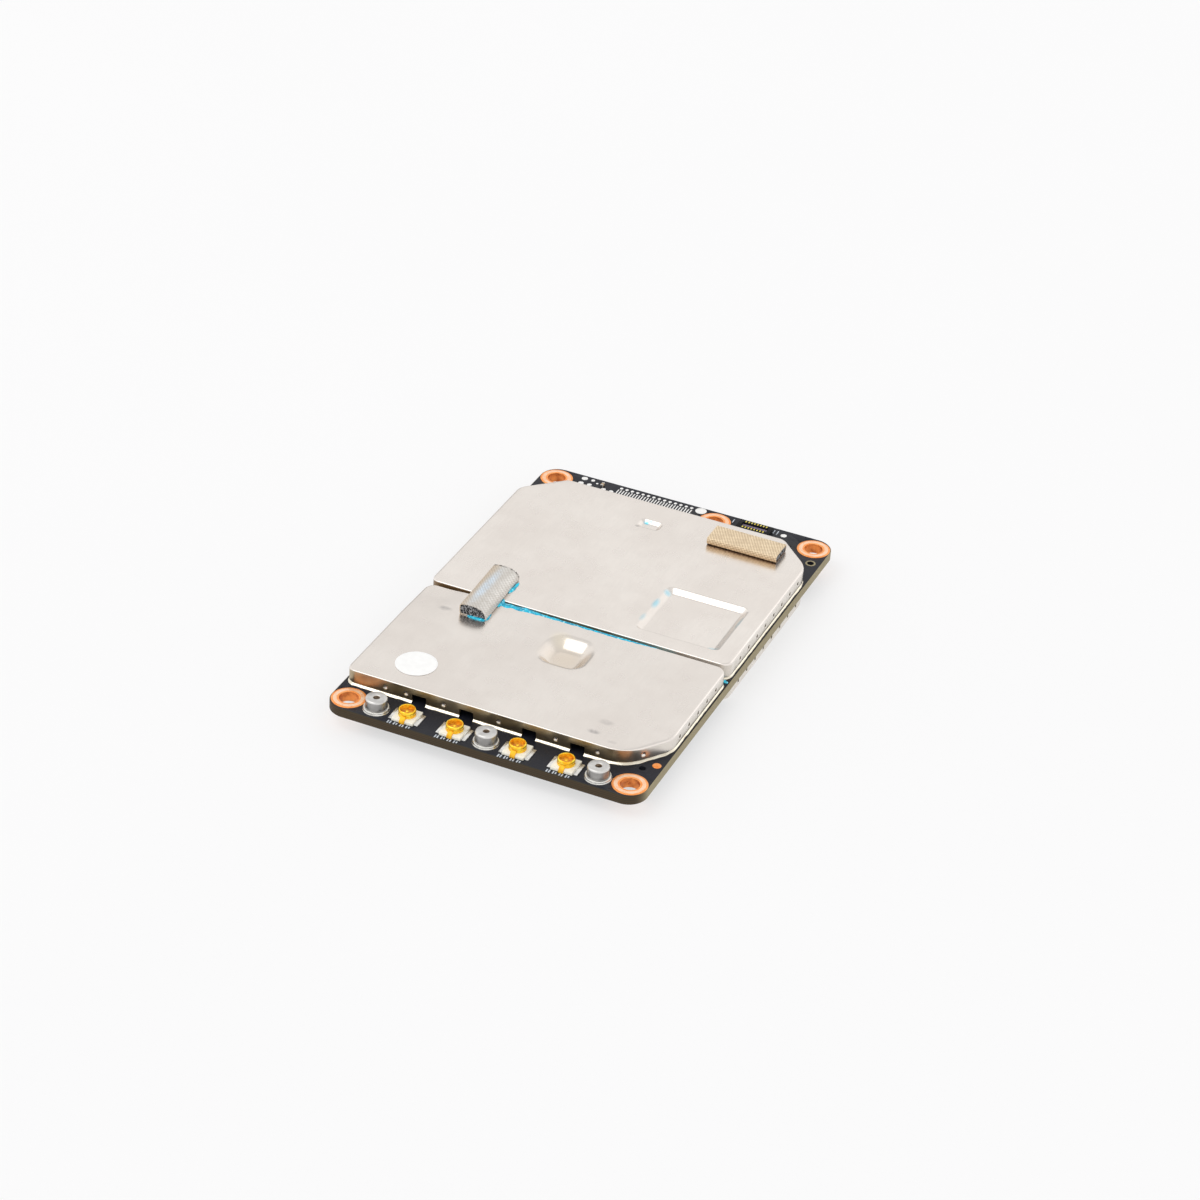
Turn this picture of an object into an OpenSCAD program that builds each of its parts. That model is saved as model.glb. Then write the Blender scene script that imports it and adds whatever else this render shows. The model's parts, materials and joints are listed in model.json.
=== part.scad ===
// Software defined radio module: a circuit board with shielded radio and baseband halves.
// Units are millimetres, +X runs along the antenna edge, +Y away from it and +Z up.
// The origin is below the board's centre, on the face that the module rests on.

/* [Board] */
// Width of the board, along the antenna edge
board_w = 38.2; // [36:0.1:44]
// Length of the board, from the antenna edge to the connector edge
board_l = 59.2; // [57:0.1:70]
// Thickness of the bare board
board_t = 1.15; // [0.8:0.05:2]
// Radius of the board's corners
board_corner_r = 2.3; // [1.5:0.1:2.8]

/* [Mounting holes] */
// Clear diameter of a mounting hole
hole_d = 2.2; // [1.6:0.1:2.6]
// Diameter of the bare copper land around a hole
land_d = 4; // [3.2:0.1:4.1]
// Distance from a side edge of the board to a hole's centre
hole_inset_x = 2.1; // [2.1:0.05:2.3]
// Distance from the front or rear edge of the board to a hole's centre
hole_inset_y = 2.3; // [2.1:0.05:2.4]
// Distance from the fifth hole to the rear right corner hole
rear_hole_step = 12.9; // [12.4:0.1:14]
// Thickness of a copper land, on both faces of the board
land_t = 0.05; // [0.03:0.01:0.1]
// Diameter of the two small tooling holes
tooling_hole_d = 0.8; // [0.5:0.05:1]

/* [Shields] */
// Sheet thickness of the lids and frames
sheet_t = 0.2; // [0.12:0.01:0.25]
// Clearance between a lid's skirt and its frame
lid_fit = 0.05; // [0.02:0.01:0.1]
// Outer radius of the bend between a lid's top and its skirt
bend_r = 0.4; // [0.3:0.05:0.6]
// Height of the front lid above the board
front_lid_h = 1.95; // [1.8:0.05:2.6]
// Height of the rear lid above the board
rear_lid_h = 2.1; // [1.95:0.05:2.6]
// Distance from the board's side edge to a lid's skirt
side_margin = 0.35; // [0.2:0.05:1]
// Distance from the board's front edge to the front lid's skirt
front_strip = 4.8; // [4.6:0.1:6]
// Distance from the board's rear edge to the rear lid's skirt
rear_strip = 5.2; // [4.7:0.1:6]
// Distance from the board's front edge to the middle of the seam between the lids
seam_place = 25.4; // [24:0.1:27]
// Width of the seam between the lids
seam_gap = 0.35; // [0.25:0.05:0.6]
// Plan radius of a lid's square corners
corner_r = 1.2; // [1.2:0.1:2]
// Length along the front edge that the front right corner cut takes off
front_cut_x = 3.6; // [3:0.1:4.5]
// Length along the side that the front right corner cut takes off
front_cut_y = 5; // [4:0.1:6]
// Length along each edge that a rear corner cut takes off
rear_cut = 4.5; // [4:0.1:6]
// Height of the lower edge of a lid's skirt above the board
skirt_gap = 0.52; // [0.5:0.01:0.7]
// How far a frame's foot stands out past the lid's skirt
foot_out = 0.1; // [0.05:0.01:0.15]
// Thickness of a frame's foot at its outer edge
foot_t = 0.12; // [0.08:0.01:0.2]
// Width of the inner rim that carries the lid
rim_w = 0.65; // [0.4:0.05:0.7]
// Width of the wall gap behind an antenna socket
wall_gap_w = 1.7; // [1:0.1:2.4]
// Height of the wall gap behind an antenna socket
wall_gap_h = 1.1; // [0.7:0.05:1.3]
// Diameter of a snap dimple in a skirt
dimple_d = 0.55; // [0.3:0.05:0.7]
// Depth of a snap dimple
dimple_depth = 0.08; // [0.04:0.01:0.1]
// Spacing of the snap dimples along the sides
dimple_pitch = 2.55; // [2:0.05:4]

/* [Underside shields] */
// Height of the underside lids below the board
under_h = 1.75; // [1.65:0.05:2.4]
// Distance from the board's side edge to the front underside lid
under_front_margin = 3.6; // [3:0.1:5]

/* [Pressed pockets] */
// Size across of the large pocket's mouth
main_pocket_w = 10.5; // [9:0.1:11]
// Size front to back of the large pocket's mouth
main_pocket_l = 10.1; // [9:0.1:12]
// Depth of the large pocket
main_pocket_depth = 0.5; // [0.3:0.05:0.6]
// How far the large pocket's walls lean in
main_pocket_lean = 0.95; // [0.3:0.05:1.1]
// Distance of the large pocket from the rear lid's right side and from the seam
main_pocket_margin = 2.2; // [1.5:0.1:3]
// Size across of the front pocket's mouth
front_pocket_w = 5.8; // [5:0.1:7]
// Size front to back of the front pocket's mouth
front_pocket_l = 6.2; // [5:0.1:7]
// Depth of the front pocket
front_pocket_depth = 0.9; // [0.6:0.05:1]
// How far the front pocket's walls lean in
front_pocket_lean = 1.5; // [1:0.05:1.8]
// Sideways place of the front pocket
front_pocket_x = 1.4; // [-2:0.1:6]
// Distance of the front pocket from the seam
front_pocket_margin = 2.4; // [1.5:0.1:4]
// Size across of the small rear pocket's mouth
small_pocket_w = 3; // [2.4:0.1:4]
// Size front to back of the small rear pocket's mouth
small_pocket_l = 2.1; // [1.8:0.1:3]
// Depth of the small rear pocket
small_pocket_depth = 0.35; // [0.2:0.05:0.6]
// How far the small rear pocket's walls lean in
small_pocket_lean = 0.6; // [0.2:0.05:0.7]
// Sideways place of the small rear pocket
small_pocket_x = -1.25; // [-4:0.05:2]
// Distance of the small rear pocket from the rear lid's back
small_pocket_margin = 3.7; // [2.5:0.1:5]

/* [Antenna sockets] */
// Distance from the board's front edge to the row of sockets and standoffs
socket_inset = 1.95; // [1.85:0.05:2.4]
// Distance between a socket and the standoff beside it
socket_step = 3.8; // [3.5:0.05:4]
// Side of a socket's square moulded base
socket_base_w = 2.6; // [2.3:0.05:2.7]
// Thickness of a socket's moulded base
socket_base_t = 0.4; // [0.3:0.05:0.6]
// Outer diameter of a socket's round shell
socket_shell_d = 2; // [1.9:0.02:2.1]
// Diameter of a socket's shell where the moulded base holds it
socket_foot_d = 1.6; // [1.5:0.02:1.6]
// Wall of a socket's round shell
socket_shell_wall = 0.18; // [0.1:0.01:0.25]
// Height of a socket's shell above the board
socket_shell_h = 1.25; // [1.1:0.05:1.8]
// Width over a socket's two solder tabs
socket_tab_span = 3.6; // [3.2:0.05:3.8]
// Front to back size of a solder tab
socket_tab_w = 2.2; // [1.6:0.05:2.3]
// Thickness of the solder tabs and the signal tongue
socket_tab_t = 0.15; // [0.1:0.01:0.2]
// Diameter of the centre pin
socket_pin_d = 0.4; // [0.3:0.02:0.5]
// Height of the centre pin above the board
socket_pin_h = 0.95; // [0.7:0.05:1.05]
// Width of the signal tongue
socket_tongue_w = 0.6; // [0.4:0.05:0.7]

/* [Standoffs] */
// Distance between an outer standoff and the corner hole beside it
standoff_step = 3.6; // [3.6:0.05:3.8]
// Diameter of a standoff's barrel
standoff_d = 2.6; // [2.2:0.05:2.8]
// Diameter of a standoff's foot
standoff_foot_d = 3.1; // [2.9:0.05:3.15]
// Thickness of a standoff's foot
standoff_foot_t = 0.3; // [0.2:0.05:0.5]
// Height of a standoff above the board
standoff_h = 1.5; // [1:0.05:2.5]
// Core diameter of a standoff's threaded hole
standoff_bore_d = 0.8; // [0.7:0.05:1.2]

/* [Gaskets] */
// Thickness of the conductive fabric
fabric_t = 0.12; // [0.06:0.01:0.2]
// Width of the gasket that bridges the seam
seam_gasket_w = 3.4; // [2.5:0.1:4]
// Length of the gasket that bridges the seam
seam_gasket_l = 9.6; // [7:0.1:11]
// Distance from the seam back to the bridging gasket's middle
seam_gasket_shift = 0.2; // [0:0.05:0.5]
// Height of the bridging gasket's crown above the front lid
seam_gasket_h = 1.55; // [1.2:0.05:2]
// Rise of the bridging gasket's crown above its shoulders
seam_gasket_crown = 0.55; // [0.3:0.05:0.8]
// Distance of the bridging gasket from the lids' left side
seam_gasket_margin = 5.95; // [4:0.05:8]
// Length of the gasket on the rear lid
rear_gasket_l = 8.9; // [7:0.1:9.5]
// Width of the gasket on the rear lid
rear_gasket_w = 3.35; // [2.6:0.05:3.8]
// Height of the gasket on the rear lid
rear_gasket_h = 1; // [0.8:0.05:1.4]
// Distance of the rear gasket from the rear lid's right side
rear_gasket_side = 3.4; // [3:0.1:5]
// Distance of the rear gasket from the rear lid's back
rear_gasket_back = 2.35; // [2:0.05:3]

/* [Gel and label] */
// Distance of the seam gel's right end from the lids' right side
gel_end_margin = 6.5; // [4:0.1:10]
// Depth of the gel in the seam
gel_depth = 1; // [0.6:0.05:1.3]
// How far the gel in the seam lies below the front lid's top
gel_drop = 0.3; // [0.1:0.05:0.5]
// Radius of the gel fillet at the bridging gasket's foot
gel_fillet_r = 0.3; // [0.15:0.05:0.4]
// Diameter of the round label
label_d = 4.8; // [3.5:0.1:6]
// Thickness of the round label
label_t = 0.08; // [0.04:0.01:0.15]
// Distance of the label's centre from the front lid's left side
label_side = 6.5; // [4:0.1:8]
// Distance of the label's centre from the front lid's front
label_front = 4.5; // [3.6:0.1:6]

/* [Rear strip] */
// Length of the board connector's housing
connector_l = 4.3; // [4:0.1:4.6]
// Width of the board connector's housing
connector_w = 1.9; // [1.6:0.05:2]
// Height of the board connector's housing
connector_h = 0.6; // [0.45:0.05:1]
// Distance from the board connector's middle to the rear right corner hole
connector_step = 7.85; // [7.5:0.05:8.1]
// Distance from the board's rear edge to the connector's middle
connector_inset = 1.9; // [1.7:0.05:2.1]
// Contacts in each row of the board connector
connector_count = 8; // [5:1:9]
// Spacing of the connector's contacts
connector_pitch = 0.38; // [0.3:0.01:0.4]
// Distance between the two contact rows
connector_row_gap = 1.24; // [1.1:0.02:1.3]
// Round pads in the rear row
edge_pad_count = 14; // [8:1:14]
// Clear distance between the pad rows and the test pads at their ends
pad_clear = 0.3; // [0.15:0.05:0.5]
// Diameter of a round pad in the rear row
edge_pad_d = 0.42; // [0.3:0.02:0.5]
// Distance from the board's rear edge to the round pads
edge_pad_inset = 0.7; // [0.5:0.05:0.8]
// Length of the narrow pads in front of the round ones
finger_l = 1.05; // [0.6:0.05:1.2]
// Width of a narrow pad
finger_w = 0.18; // [0.1:0.01:0.22]
// Clear distance between the round pads and the narrow ones
finger_gap = 0.18; // [0.05:0.01:0.2]
// Thickness of the tinned pads
pad_t = 0.05; // [0.03:0.01:0.1]
// Length of the small chip capacitor
strip_capacitor_l = 0.7; // [0.5:0.05:1]
// Width and height of the small chip capacitor
strip_capacitor_w = 0.35; // [0.25:0.05:0.5]

/* [Chips] */
// Side of the baseband processor
processor_w = 8; // [6:0.1:8.4]
// Height of the baseband processor
processor_h = 1.1; // [0.8:0.05:1.2]
// Side of the radio transceiver
transceiver_w = 6.5; // [5:0.1:8]
// Height of the radio transceiver
transceiver_h = 0.7; // [0.5:0.05:0.75]
// Side of the power manager
power_manager_w = 5; // [4:0.1:6]
// Height of the power manager
power_manager_h = 0.9; // [0.6:0.05:1]
// Height of the other chips inside the shields
chip_h = 0.8; // [0.5:0.05:1.1]
// Side of a radio front end
front_end_w = 3; // [2:0.1:4]
// Distance from the front lid's skirt to the radio front ends
front_end_inset = 4.5; // [3:0.1:5.5]

/* [Hidden] */
$fn = 48;
ports = [1, 2, 3, 4];
posts = [1, 2, 3];

function numbered(prefix, list, suffix = "") = [for (k = list) str(prefix, k, suffix)];

// Board edges and heights
edge_x = board_w / 2;
edge_y = board_l / 2;
board_top = under_h + board_t;

// Hole places
hole_x = edge_x - hole_inset_x;
hole_y = edge_y - hole_inset_y;
corner_holes = [for (x = [-hole_x, hole_x], y = [-hole_y, hole_y]) [x, y]];
rear_hole_x = hole_x - rear_hole_step;
all_holes = concat(corner_holes, [[rear_hole_x, hole_y]]);

// Lid faces, as coordinates of their skirts
lid_x = edge_x - side_margin;
front_y = -edge_y + front_strip;
rear_y = edge_y - rear_strip;
seam_y = -edge_y + seam_place;
front_back_y = seam_y - seam_gap / 2;
rear_front_y = seam_y + seam_gap / 2;
under_front_x = edge_x - under_front_margin;

// Frame section, measured inward from the lid's skirt
frame_out = sheet_t + lid_fit;
frame_in = frame_out + sheet_t;
rim_in = frame_out + rim_w;
fillet_h = skirt_gap - lid_fit;

// Lid outlines as boxes, [low x, low y, high x, high y]
front_box = [-lid_x, front_y, lid_x, front_back_y];
rear_box = [-lid_x, rear_front_y, lid_x, rear_y];
under_front_box = [-under_front_x, front_y, under_front_x, front_back_y];

// Cuts across the lids' corners, each as a point on the cut and its heading
front_cuts = [[[lid_x, front_y + front_cut_y], atan2(front_cut_y, front_cut_x)]];
rear_cuts = [[[lid_x, rear_y - rear_cut], 135], [[rear_cut - lid_x, rear_y], 225]];
cut_reach = 3 * max(front_cut_y, rear_cut);

// How far in a shield's core block and its edge sections reach, so that they lap
core_in = (corner_r + rim_in) / 2;
section_in = (corner_r + core_in) / 2;

// Pocket centres
main_pocket_at = [
    lid_x - main_pocket_margin - main_pocket_w / 2,
    rear_front_y + main_pocket_margin + main_pocket_l / 2
];
front_pocket_at = [front_pocket_x, front_back_y - front_pocket_margin - front_pocket_l / 2];
small_pocket_at = [small_pocket_x, rear_y - small_pocket_margin - small_pocket_l / 2];

// The row of sockets and standoffs on the antenna edge
row_y = -edge_y + socket_inset;
standoff_x = hole_x - standoff_step;
post_x = [-standoff_x, 0, standoff_x];
port_x = [-standoff_x + socket_step, -socket_step, socket_step, standoff_x - socket_step];
shell_r = socket_shell_d / 2;
notch_w = socket_tongue_w + socket_tab_t;
notch_h = socket_tab_t * 2;

// Places of the snap dimples along the front and the back
port_middle = (port_x[2] + port_x[3]) / 2;
outer_dimple_x = port_middle + 2 * dimple_pitch;
front_dimple_x = [-outer_dimple_x, -port_middle, 0, port_middle, outer_dimple_x];
back_dimple_side = floor((lid_x - rear_cut - corner_r) / dimple_pitch);
back_dimple_x = [for (k = [-back_dimple_side : back_dimple_side]) k * dimple_pitch];

// Gasket places
seam_gasket_at = [-lid_x + seam_gasket_margin + seam_gasket_w / 2, seam_y + seam_gasket_shift];
lid_step = rear_lid_h - front_lid_h;
rear_gasket_at = [
    lid_x - rear_gasket_side - rear_gasket_l / 2, rear_y - rear_gasket_back - rear_gasket_w / 2
];
gel_x = seam_gasket_at[0] + seam_gasket_w / 2;

// Rear strip places
connector_at = [hole_x - connector_step, edge_y - connector_inset];
contact_w = connector_pitch / 2;
contact_l = 0.36;
tail_l = 0.3;
tail_t = 0.1;
channel_w = 0.5;
channel_wall = 0.5;
pad_row_y = edge_y - edge_pad_inset;

// Test pads, as [distance from the rear left hole, distance from the rear edge, diameter]
left_pads = [
    [3.1, 0.7, 0.78], [4.2, 0.65, 0.5], [3.1, 1.9, 0.7], [4.2, 1.8, 0.6],
    [4.95, 1.1, 0.3], [6.15, 1.95, 0.6], [7.2, 2, 0.6]
];
last_left_pad = left_pads[len(left_pads) - 1];
round_pad_d = 1.4;
round_pad_inset = 0.8;
round_pad_step = 2.4;
end_pad_d = 0.75;
end_pad_inset = 1.2;
end_pad_step = 4.3;
round_pad_x = rear_hole_x - round_pad_step;

// The pad rows fill the space between the left test pads and the large round pad
row_left = -hole_x + last_left_pad[0] + last_left_pad[2] / 2 + pad_clear;
row_right = round_pad_x - round_pad_d / 2 - pad_clear;
finger_count = 2 * edge_pad_count;
finger_pitch = (row_right - row_left - finger_w) / (finger_count - 1);

strip_capacitor_step = 5.75;
strip_capacitor_inset = 1.3;
fiducial_d = 1;
fiducial_edge = 0.9;
fiducial_inset = 6.8;
front_tooling_inset = 5.65;
rear_tooling_edge = 1.25;
rear_tooling_inset = 5.5;
strip_capacitor_at = [strip_capacitor_step - hole_x, edge_y - strip_capacitor_inset];
fiducial_at = [edge_x - fiducial_edge, fiducial_inset - edge_y];
front_tooling_at = [hole_x, front_tooling_inset - edge_y];
rear_tooling_at = [edge_x - rear_tooling_edge, edge_y - rear_tooling_inset];

// Sizes and places of the chips that have no pocket of their own
memory_w = 9;
memory_l = 11;
memory_step = 12.5;
memory_set = 9;
flash_w = 11.5;
flash_l = 13;
flash_set = 14;
oscillator_w = 2.5;
oscillator_l = 2;
oscillator_step = 9;
inductor_w = 2.5;
inductor_h = 1.2;
inductor_gap = 1;
bulk_w = 3.2;
bulk_l = 1.6;
filter_w = 2.2;
matching_w = 0.6;
matching_l = 1;
memory_at = [main_pocket_at[0] - memory_step, seam_y + memory_set];
flash_at = [0, seam_y + flash_set];
oscillator_at = [front_pocket_x - oscillator_step, front_pocket_at[1]];
front_end_y = front_y + front_end_inset;

// Lifts a piece from the board's top face, or turns it under the board's lower face
module on_top() {
    translate([0, 0, board_top]) children();
}
module below() {
    translate([0, 0, under_h]) mirror([0, 0, 1]) children();
}

// A block that stands on z = 0, centred at a place
module block(at, size) {
    translate([at[0] - size[0] / 2, at[1] - size[1] / 2, 0]) cube(size);
}

// Carries a section round a box with rounded corners; the section's x points inward and its y up
module around(box) {
    middle = [(box[0] + box[2]) / 2, (box[1] + box[3]) / 2, 0];
    half = [(box[2] - box[0]) / 2 - corner_r, (box[3] - box[1]) / 2 - corner_r];
    for (k = [0 : 3]) {
        along = half[k % 2];
        aside = half[(k + 1) % 2];
        translate(middle) rotate([0, 0, 90 * k]) {
            translate([-along, -aside - corner_r, 0])
                rotate([90, 0, 90]) linear_extrude(2 * along) children();
            translate([along, -aside, 0]) rotate([0, 0, -90])
                rotate_extrude(angle = 90) translate([corner_r, 0]) mirror([1, 0]) children();
        }
    }
}

// What lies outside a section along each corner cut
module cut_away(cuts, low, high) {
    for (c = cuts)
        translate(c[0]) rotate([0, 0, c[1]]) rotate([90, 0, 90])
            linear_extrude(2 * cut_reach, center = true) difference() {
                translate([-cut_reach, low]) square([cut_reach + core_in, high - low]);
                children();
            }
}

// A filled body inside a box outline, from a low to a high level, with a section at its edge
module body(box, cuts, low, high) {
    size = [box[2] - box[0] - 2 * core_in, box[3] - box[1] - 2 * core_in, high - low];
    difference() {
        union() {
            around(box) children();
            translate([box[0] + core_in, box[1] + core_in, low]) cube(size);
        }
        cut_away(cuts, low, high) children();
    }
}

// The same body with a plain upright edge, moved inward by an inset
module plain_body(box, cuts, inset, low, high) {
    body(box, cuts, low, high) translate([inset, low]) square([section_in - inset, high - low]);
}

// Section inside a lid's skirt and bend, moved inward by an inset
module lid_section(inset, low, h) {
    bend = bend_r - inset;
    translate([inset, low]) square([section_in - inset, h - bend_r - low]);
    translate([bend_r, h - bend_r]) square([section_in - bend_r, bend]);
    translate([bend_r, h - bend_r]) intersection() {
        circle(bend);
        translate([-bend, 0]) square(bend);
    }
}

// Section inside a frame's soldered foot and wall, with its top edge clear of the lid's bend
module frame_section(top) {
    polygon([
        [-foot_out, 0], [-foot_out, foot_t], [frame_out, fillet_h], [frame_out, top + sheet_t - bend_r],
        [bend_r, top], [section_in, top], [section_in, 0]
    ]);
}

// A block whose sides lean in from its top size to its lower size; its top is at z = 0
module leaning_block(top, lean, depth) {
    low = top - [2 * lean, 2 * lean];
    intersection() {
        rotate([90, 0, 0]) linear_extrude(top[1], center = true)
            polygon([[-top[0] / 2, 0], [-low[0] / 2, -depth], [low[0] / 2, -depth], [top[0] / 2, 0]]);
        rotate([90, 0, 90]) linear_extrude(top[0], center = true)
            polygon([[-top[1] / 2, 0], [-low[1] / 2, -depth], [low[1] / 2, -depth], [top[1] / 2, 0]]);
    }
}

// A pressed pocket's sheet below a lid's top, and the hollow that it leaves
module pocket_sheet(at, size, lean, depth, h) {
    wall = [2 * sheet_t, 2 * sheet_t];
    translate([at[0], at[1], h - sheet_t]) leaning_block(size + wall, lean, depth);
}
module pocket_hollow(at, size, lean, depth, h) {
    translate([at[0], at[1], h]) leaning_block(size, lean, depth);
}

// A snap dimple pressed into a skirt at a place, facing along a heading
module dimple(at, face, h) {
    translate([at[0], at[1], (skirt_gap + h - bend_r) / 2])
        rotate([0, 0, face]) rotate([0, 90, 0])
            translate([0, 0, -dimple_depth]) cylinder(d = dimple_d, h = 2 * dimple_depth);
}

// Rows of dimples along a lid's two sides, centred on their straight length
module side_dimples(x, y0, y1, h) {
    count = floor((y1 - y0) / dimple_pitch);
    for (s = [-1, 1], k = [0 : count])
        dimple([s * x, (y0 + y1) / 2 + (k - count / 2) * dimple_pitch], s < 0 ? 180 : 0, h);
}

// A row of dimples along the front or back of a lid
module end_dimples(places, y, face, h) {
    for (x = places) dimple([x, y], face, h);
}

// A frame: its foot and wall, open below, with a rim round its open top
module shield_frame(box, cuts, h) {
    top = h - sheet_t;
    difference() {
        body(box, cuts, 0, top) frame_section(top);
        plain_body(box, cuts, frame_in, -sheet_t, top - sheet_t);
        plain_body(box, cuts, rim_in, 0, h);
    }
}

// A lid: its top and skirt, open below
module shield_lid(box, cuts, h) {
    difference() {
        body(box, cuts, skirt_gap, h) lid_section(0, skirt_gap, h);
        body(box, cuts, 0, h - sheet_t) lid_section(sheet_t, 0, h);
    }
}

// Gaps in the front wall, one behind each antenna socket
module port_gaps() {
    depth = foot_out + frame_in;
    for (x = port_x)
        translate([x - wall_gap_w / 2, front_y - foot_out, 0]) cube([wall_gap_w, depth, wall_gap_h]);
}

module circuit_board() {
    color([0.1, 0.11, 0.15]) translate([0, 0, under_h]) linear_extrude(board_t) difference() {
        union() {
            square([board_w - 2 * board_corner_r, board_l], center = true);
            square([board_w, board_l - 2 * board_corner_r], center = true);
            for (x = [-1, 1], y = [-1, 1])
                translate([x * (edge_x - board_corner_r), y * (edge_y - board_corner_r)])
                    circle(board_corner_r);
        }
        for (h = all_holes) translate(h) circle(d = hole_d);
        translate(front_tooling_at) circle(d = tooling_hole_d);
        translate(rear_tooling_at) circle(d = tooling_hole_d);
    }
}

module mounting_lands() {
    color([0.91, 0.6, 0.42]) for (h = all_holes, z = [under_h - land_t, board_top])
        translate([h[0], h[1], z]) difference() {
            cylinder(d = land_d, h = land_t);
            cylinder(d = hole_d, h = land_t);
        }
}

module copper_fiducial() {
    color([0.91, 0.6, 0.42]) on_top() translate(fiducial_at) cylinder(d = fiducial_d, h = pad_t);
}

module test_pads() {
    color([0.93, 0.93, 0.9]) on_top() {
        for (t = left_pads)
            translate([t[0] - hole_x, edge_y - t[1], 0]) cylinder(d = t[2], h = pad_t);
        translate([round_pad_x, edge_y - round_pad_inset, 0]) cylinder(d = round_pad_d, h = pad_t);
        translate([hole_x - end_pad_step, edge_y - end_pad_inset, 0]) cylinder(d = end_pad_d, h = pad_t);
    }
}

module edge_pads() {
    finger_y = pad_row_y - edge_pad_d / 2 - finger_gap - finger_l;
    color([0.93, 0.91, 0.85]) on_top() {
        for (k = [0 : edge_pad_count - 1])
            translate([row_left + finger_w / 2 + (2 * k + 0.5) * finger_pitch, pad_row_y, 0])
                cylinder(d = edge_pad_d, h = pad_t);
        for (k = [0 : finger_count - 1])
            translate([row_left + k * finger_pitch, finger_y, 0]) cube([finger_w, finger_l, pad_t]);
    }
}

module front_shield_frame() {
    color([0.93, 0.89, 0.8]) on_top() difference() {
        shield_frame(front_box, front_cuts, front_lid_h);
        port_gaps();
    }
}

module front_shield_lid() {
    size = [front_pocket_w, front_pocket_l];
    color([0.86, 0.83, 0.79]) on_top() difference() {
        union() {
            shield_lid(front_box, front_cuts, front_lid_h);
            pocket_sheet(front_pocket_at, size, front_pocket_lean, front_pocket_depth, front_lid_h);
        }
        pocket_hollow(front_pocket_at, size, front_pocket_lean, front_pocket_depth, front_lid_h);
        port_gaps();
        side_dimples(lid_x, front_y + front_cut_y + corner_r, front_back_y - 2 * corner_r, front_lid_h);
        end_dimples(front_dimple_x, front_y, -90, front_lid_h);
    }
}

module rear_shield_frame() {
    color([0.93, 0.89, 0.8]) on_top() shield_frame(rear_box, rear_cuts, rear_lid_h);
}

module rear_shield_lid() {
    main_size = [main_pocket_w, main_pocket_l];
    small_size = [small_pocket_w, small_pocket_l];
    color([0.86, 0.83, 0.79]) on_top() difference() {
        union() {
            shield_lid(rear_box, rear_cuts, rear_lid_h);
            pocket_sheet(main_pocket_at, main_size, main_pocket_lean, main_pocket_depth, rear_lid_h);
            pocket_sheet(small_pocket_at, small_size, small_pocket_lean, small_pocket_depth, rear_lid_h);
        }
        pocket_hollow(main_pocket_at, main_size, main_pocket_lean, main_pocket_depth, rear_lid_h);
        pocket_hollow(small_pocket_at, small_size, small_pocket_lean, small_pocket_depth, rear_lid_h);
        side_dimples(lid_x, rear_front_y + 2 * corner_r, rear_y - rear_cut - corner_r, rear_lid_h);
        end_dimples(back_dimple_x, rear_y, 90, rear_lid_h);
    }
}

module under_rear_frame() {
    color([0.93, 0.89, 0.8]) below() shield_frame(rear_box, rear_cuts, under_h);
}

module under_rear_lid() {
    color([0.86, 0.83, 0.79]) below() difference() {
        shield_lid(rear_box, rear_cuts, under_h);
        side_dimples(lid_x, rear_front_y + 2 * corner_r, rear_y - rear_cut - corner_r, under_h);
        end_dimples(back_dimple_x, rear_y, 90, under_h);
    }
}

module under_front_frame() {
    color([0.93, 0.89, 0.8]) below() shield_frame(under_front_box, [], under_h);
}

module under_front_lid() {
    color([0.86, 0.83, 0.79]) below() difference() {
        shield_lid(under_front_box, [], under_h);
        side_dimples(under_front_x, front_y + 2 * corner_r, front_back_y - 2 * corner_r, under_h);
    }
}

// Metal of one antenna socket, around its own centre
module socket_shell_metal() {
    foot_r = socket_foot_d / 2;
    foot_bore_r = foot_r - socket_shell_wall;
    ledge_z = socket_base_t + socket_shell_wall;
    tab_l = socket_tab_span / 2 - foot_bore_r;
    difference() {
        union() {
            cylinder(r = foot_r, h = socket_base_t);
            translate([0, 0, socket_base_t]) cylinder(r = shell_r, h = socket_shell_h - socket_base_t);
            for (s = [-1, 1])
                block([s * (socket_tab_span - tab_l) / 2, 0], [tab_l, socket_tab_w, socket_tab_t]);
        }
        cylinder(r = foot_bore_r, h = socket_shell_h);
        translate([0, 0, ledge_z]) cylinder(r = shell_r - socket_shell_wall, h = socket_shell_h - ledge_z);
        block([0, -foot_r / 2 - socket_tab_t], [notch_w, foot_r, notch_h]);
    }
}

module socket_pin_metal() {
    cylinder(d = socket_pin_d, h = socket_pin_h);
    translate([-socket_tongue_w / 2, -socket_tab_span / 2, 0])
        cube([socket_tongue_w, socket_tab_span / 2, socket_tab_t]);
}

module antenna_socket_housing(k) {
    color([0.94, 0.91, 0.82]) on_top() translate([port_x[k - 1], row_y, 0]) difference() {
        block([0, 0], [socket_base_w, socket_base_w, socket_base_t]);
        socket_shell_metal();
        socket_pin_metal();
    }
}

module antenna_socket_shell(k) {
    color([0.93, 0.68, 0.13]) on_top() translate([port_x[k - 1], row_y, 0]) socket_shell_metal();
}

module antenna_socket_pin(k) {
    color([0.93, 0.68, 0.13]) on_top() translate([port_x[k - 1], row_y, 0]) socket_pin_metal();
}

module standoff(k) {
    color([0.72, 0.72, 0.73]) on_top() translate([post_x[k - 1], row_y, 0]) difference() {
        union() {
            cylinder(d = standoff_foot_d, h = standoff_foot_t);
            cylinder(d = standoff_d, h = standoff_h);
        }
        cylinder(d = standoff_bore_d, h = standoff_h);
    }
}

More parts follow.
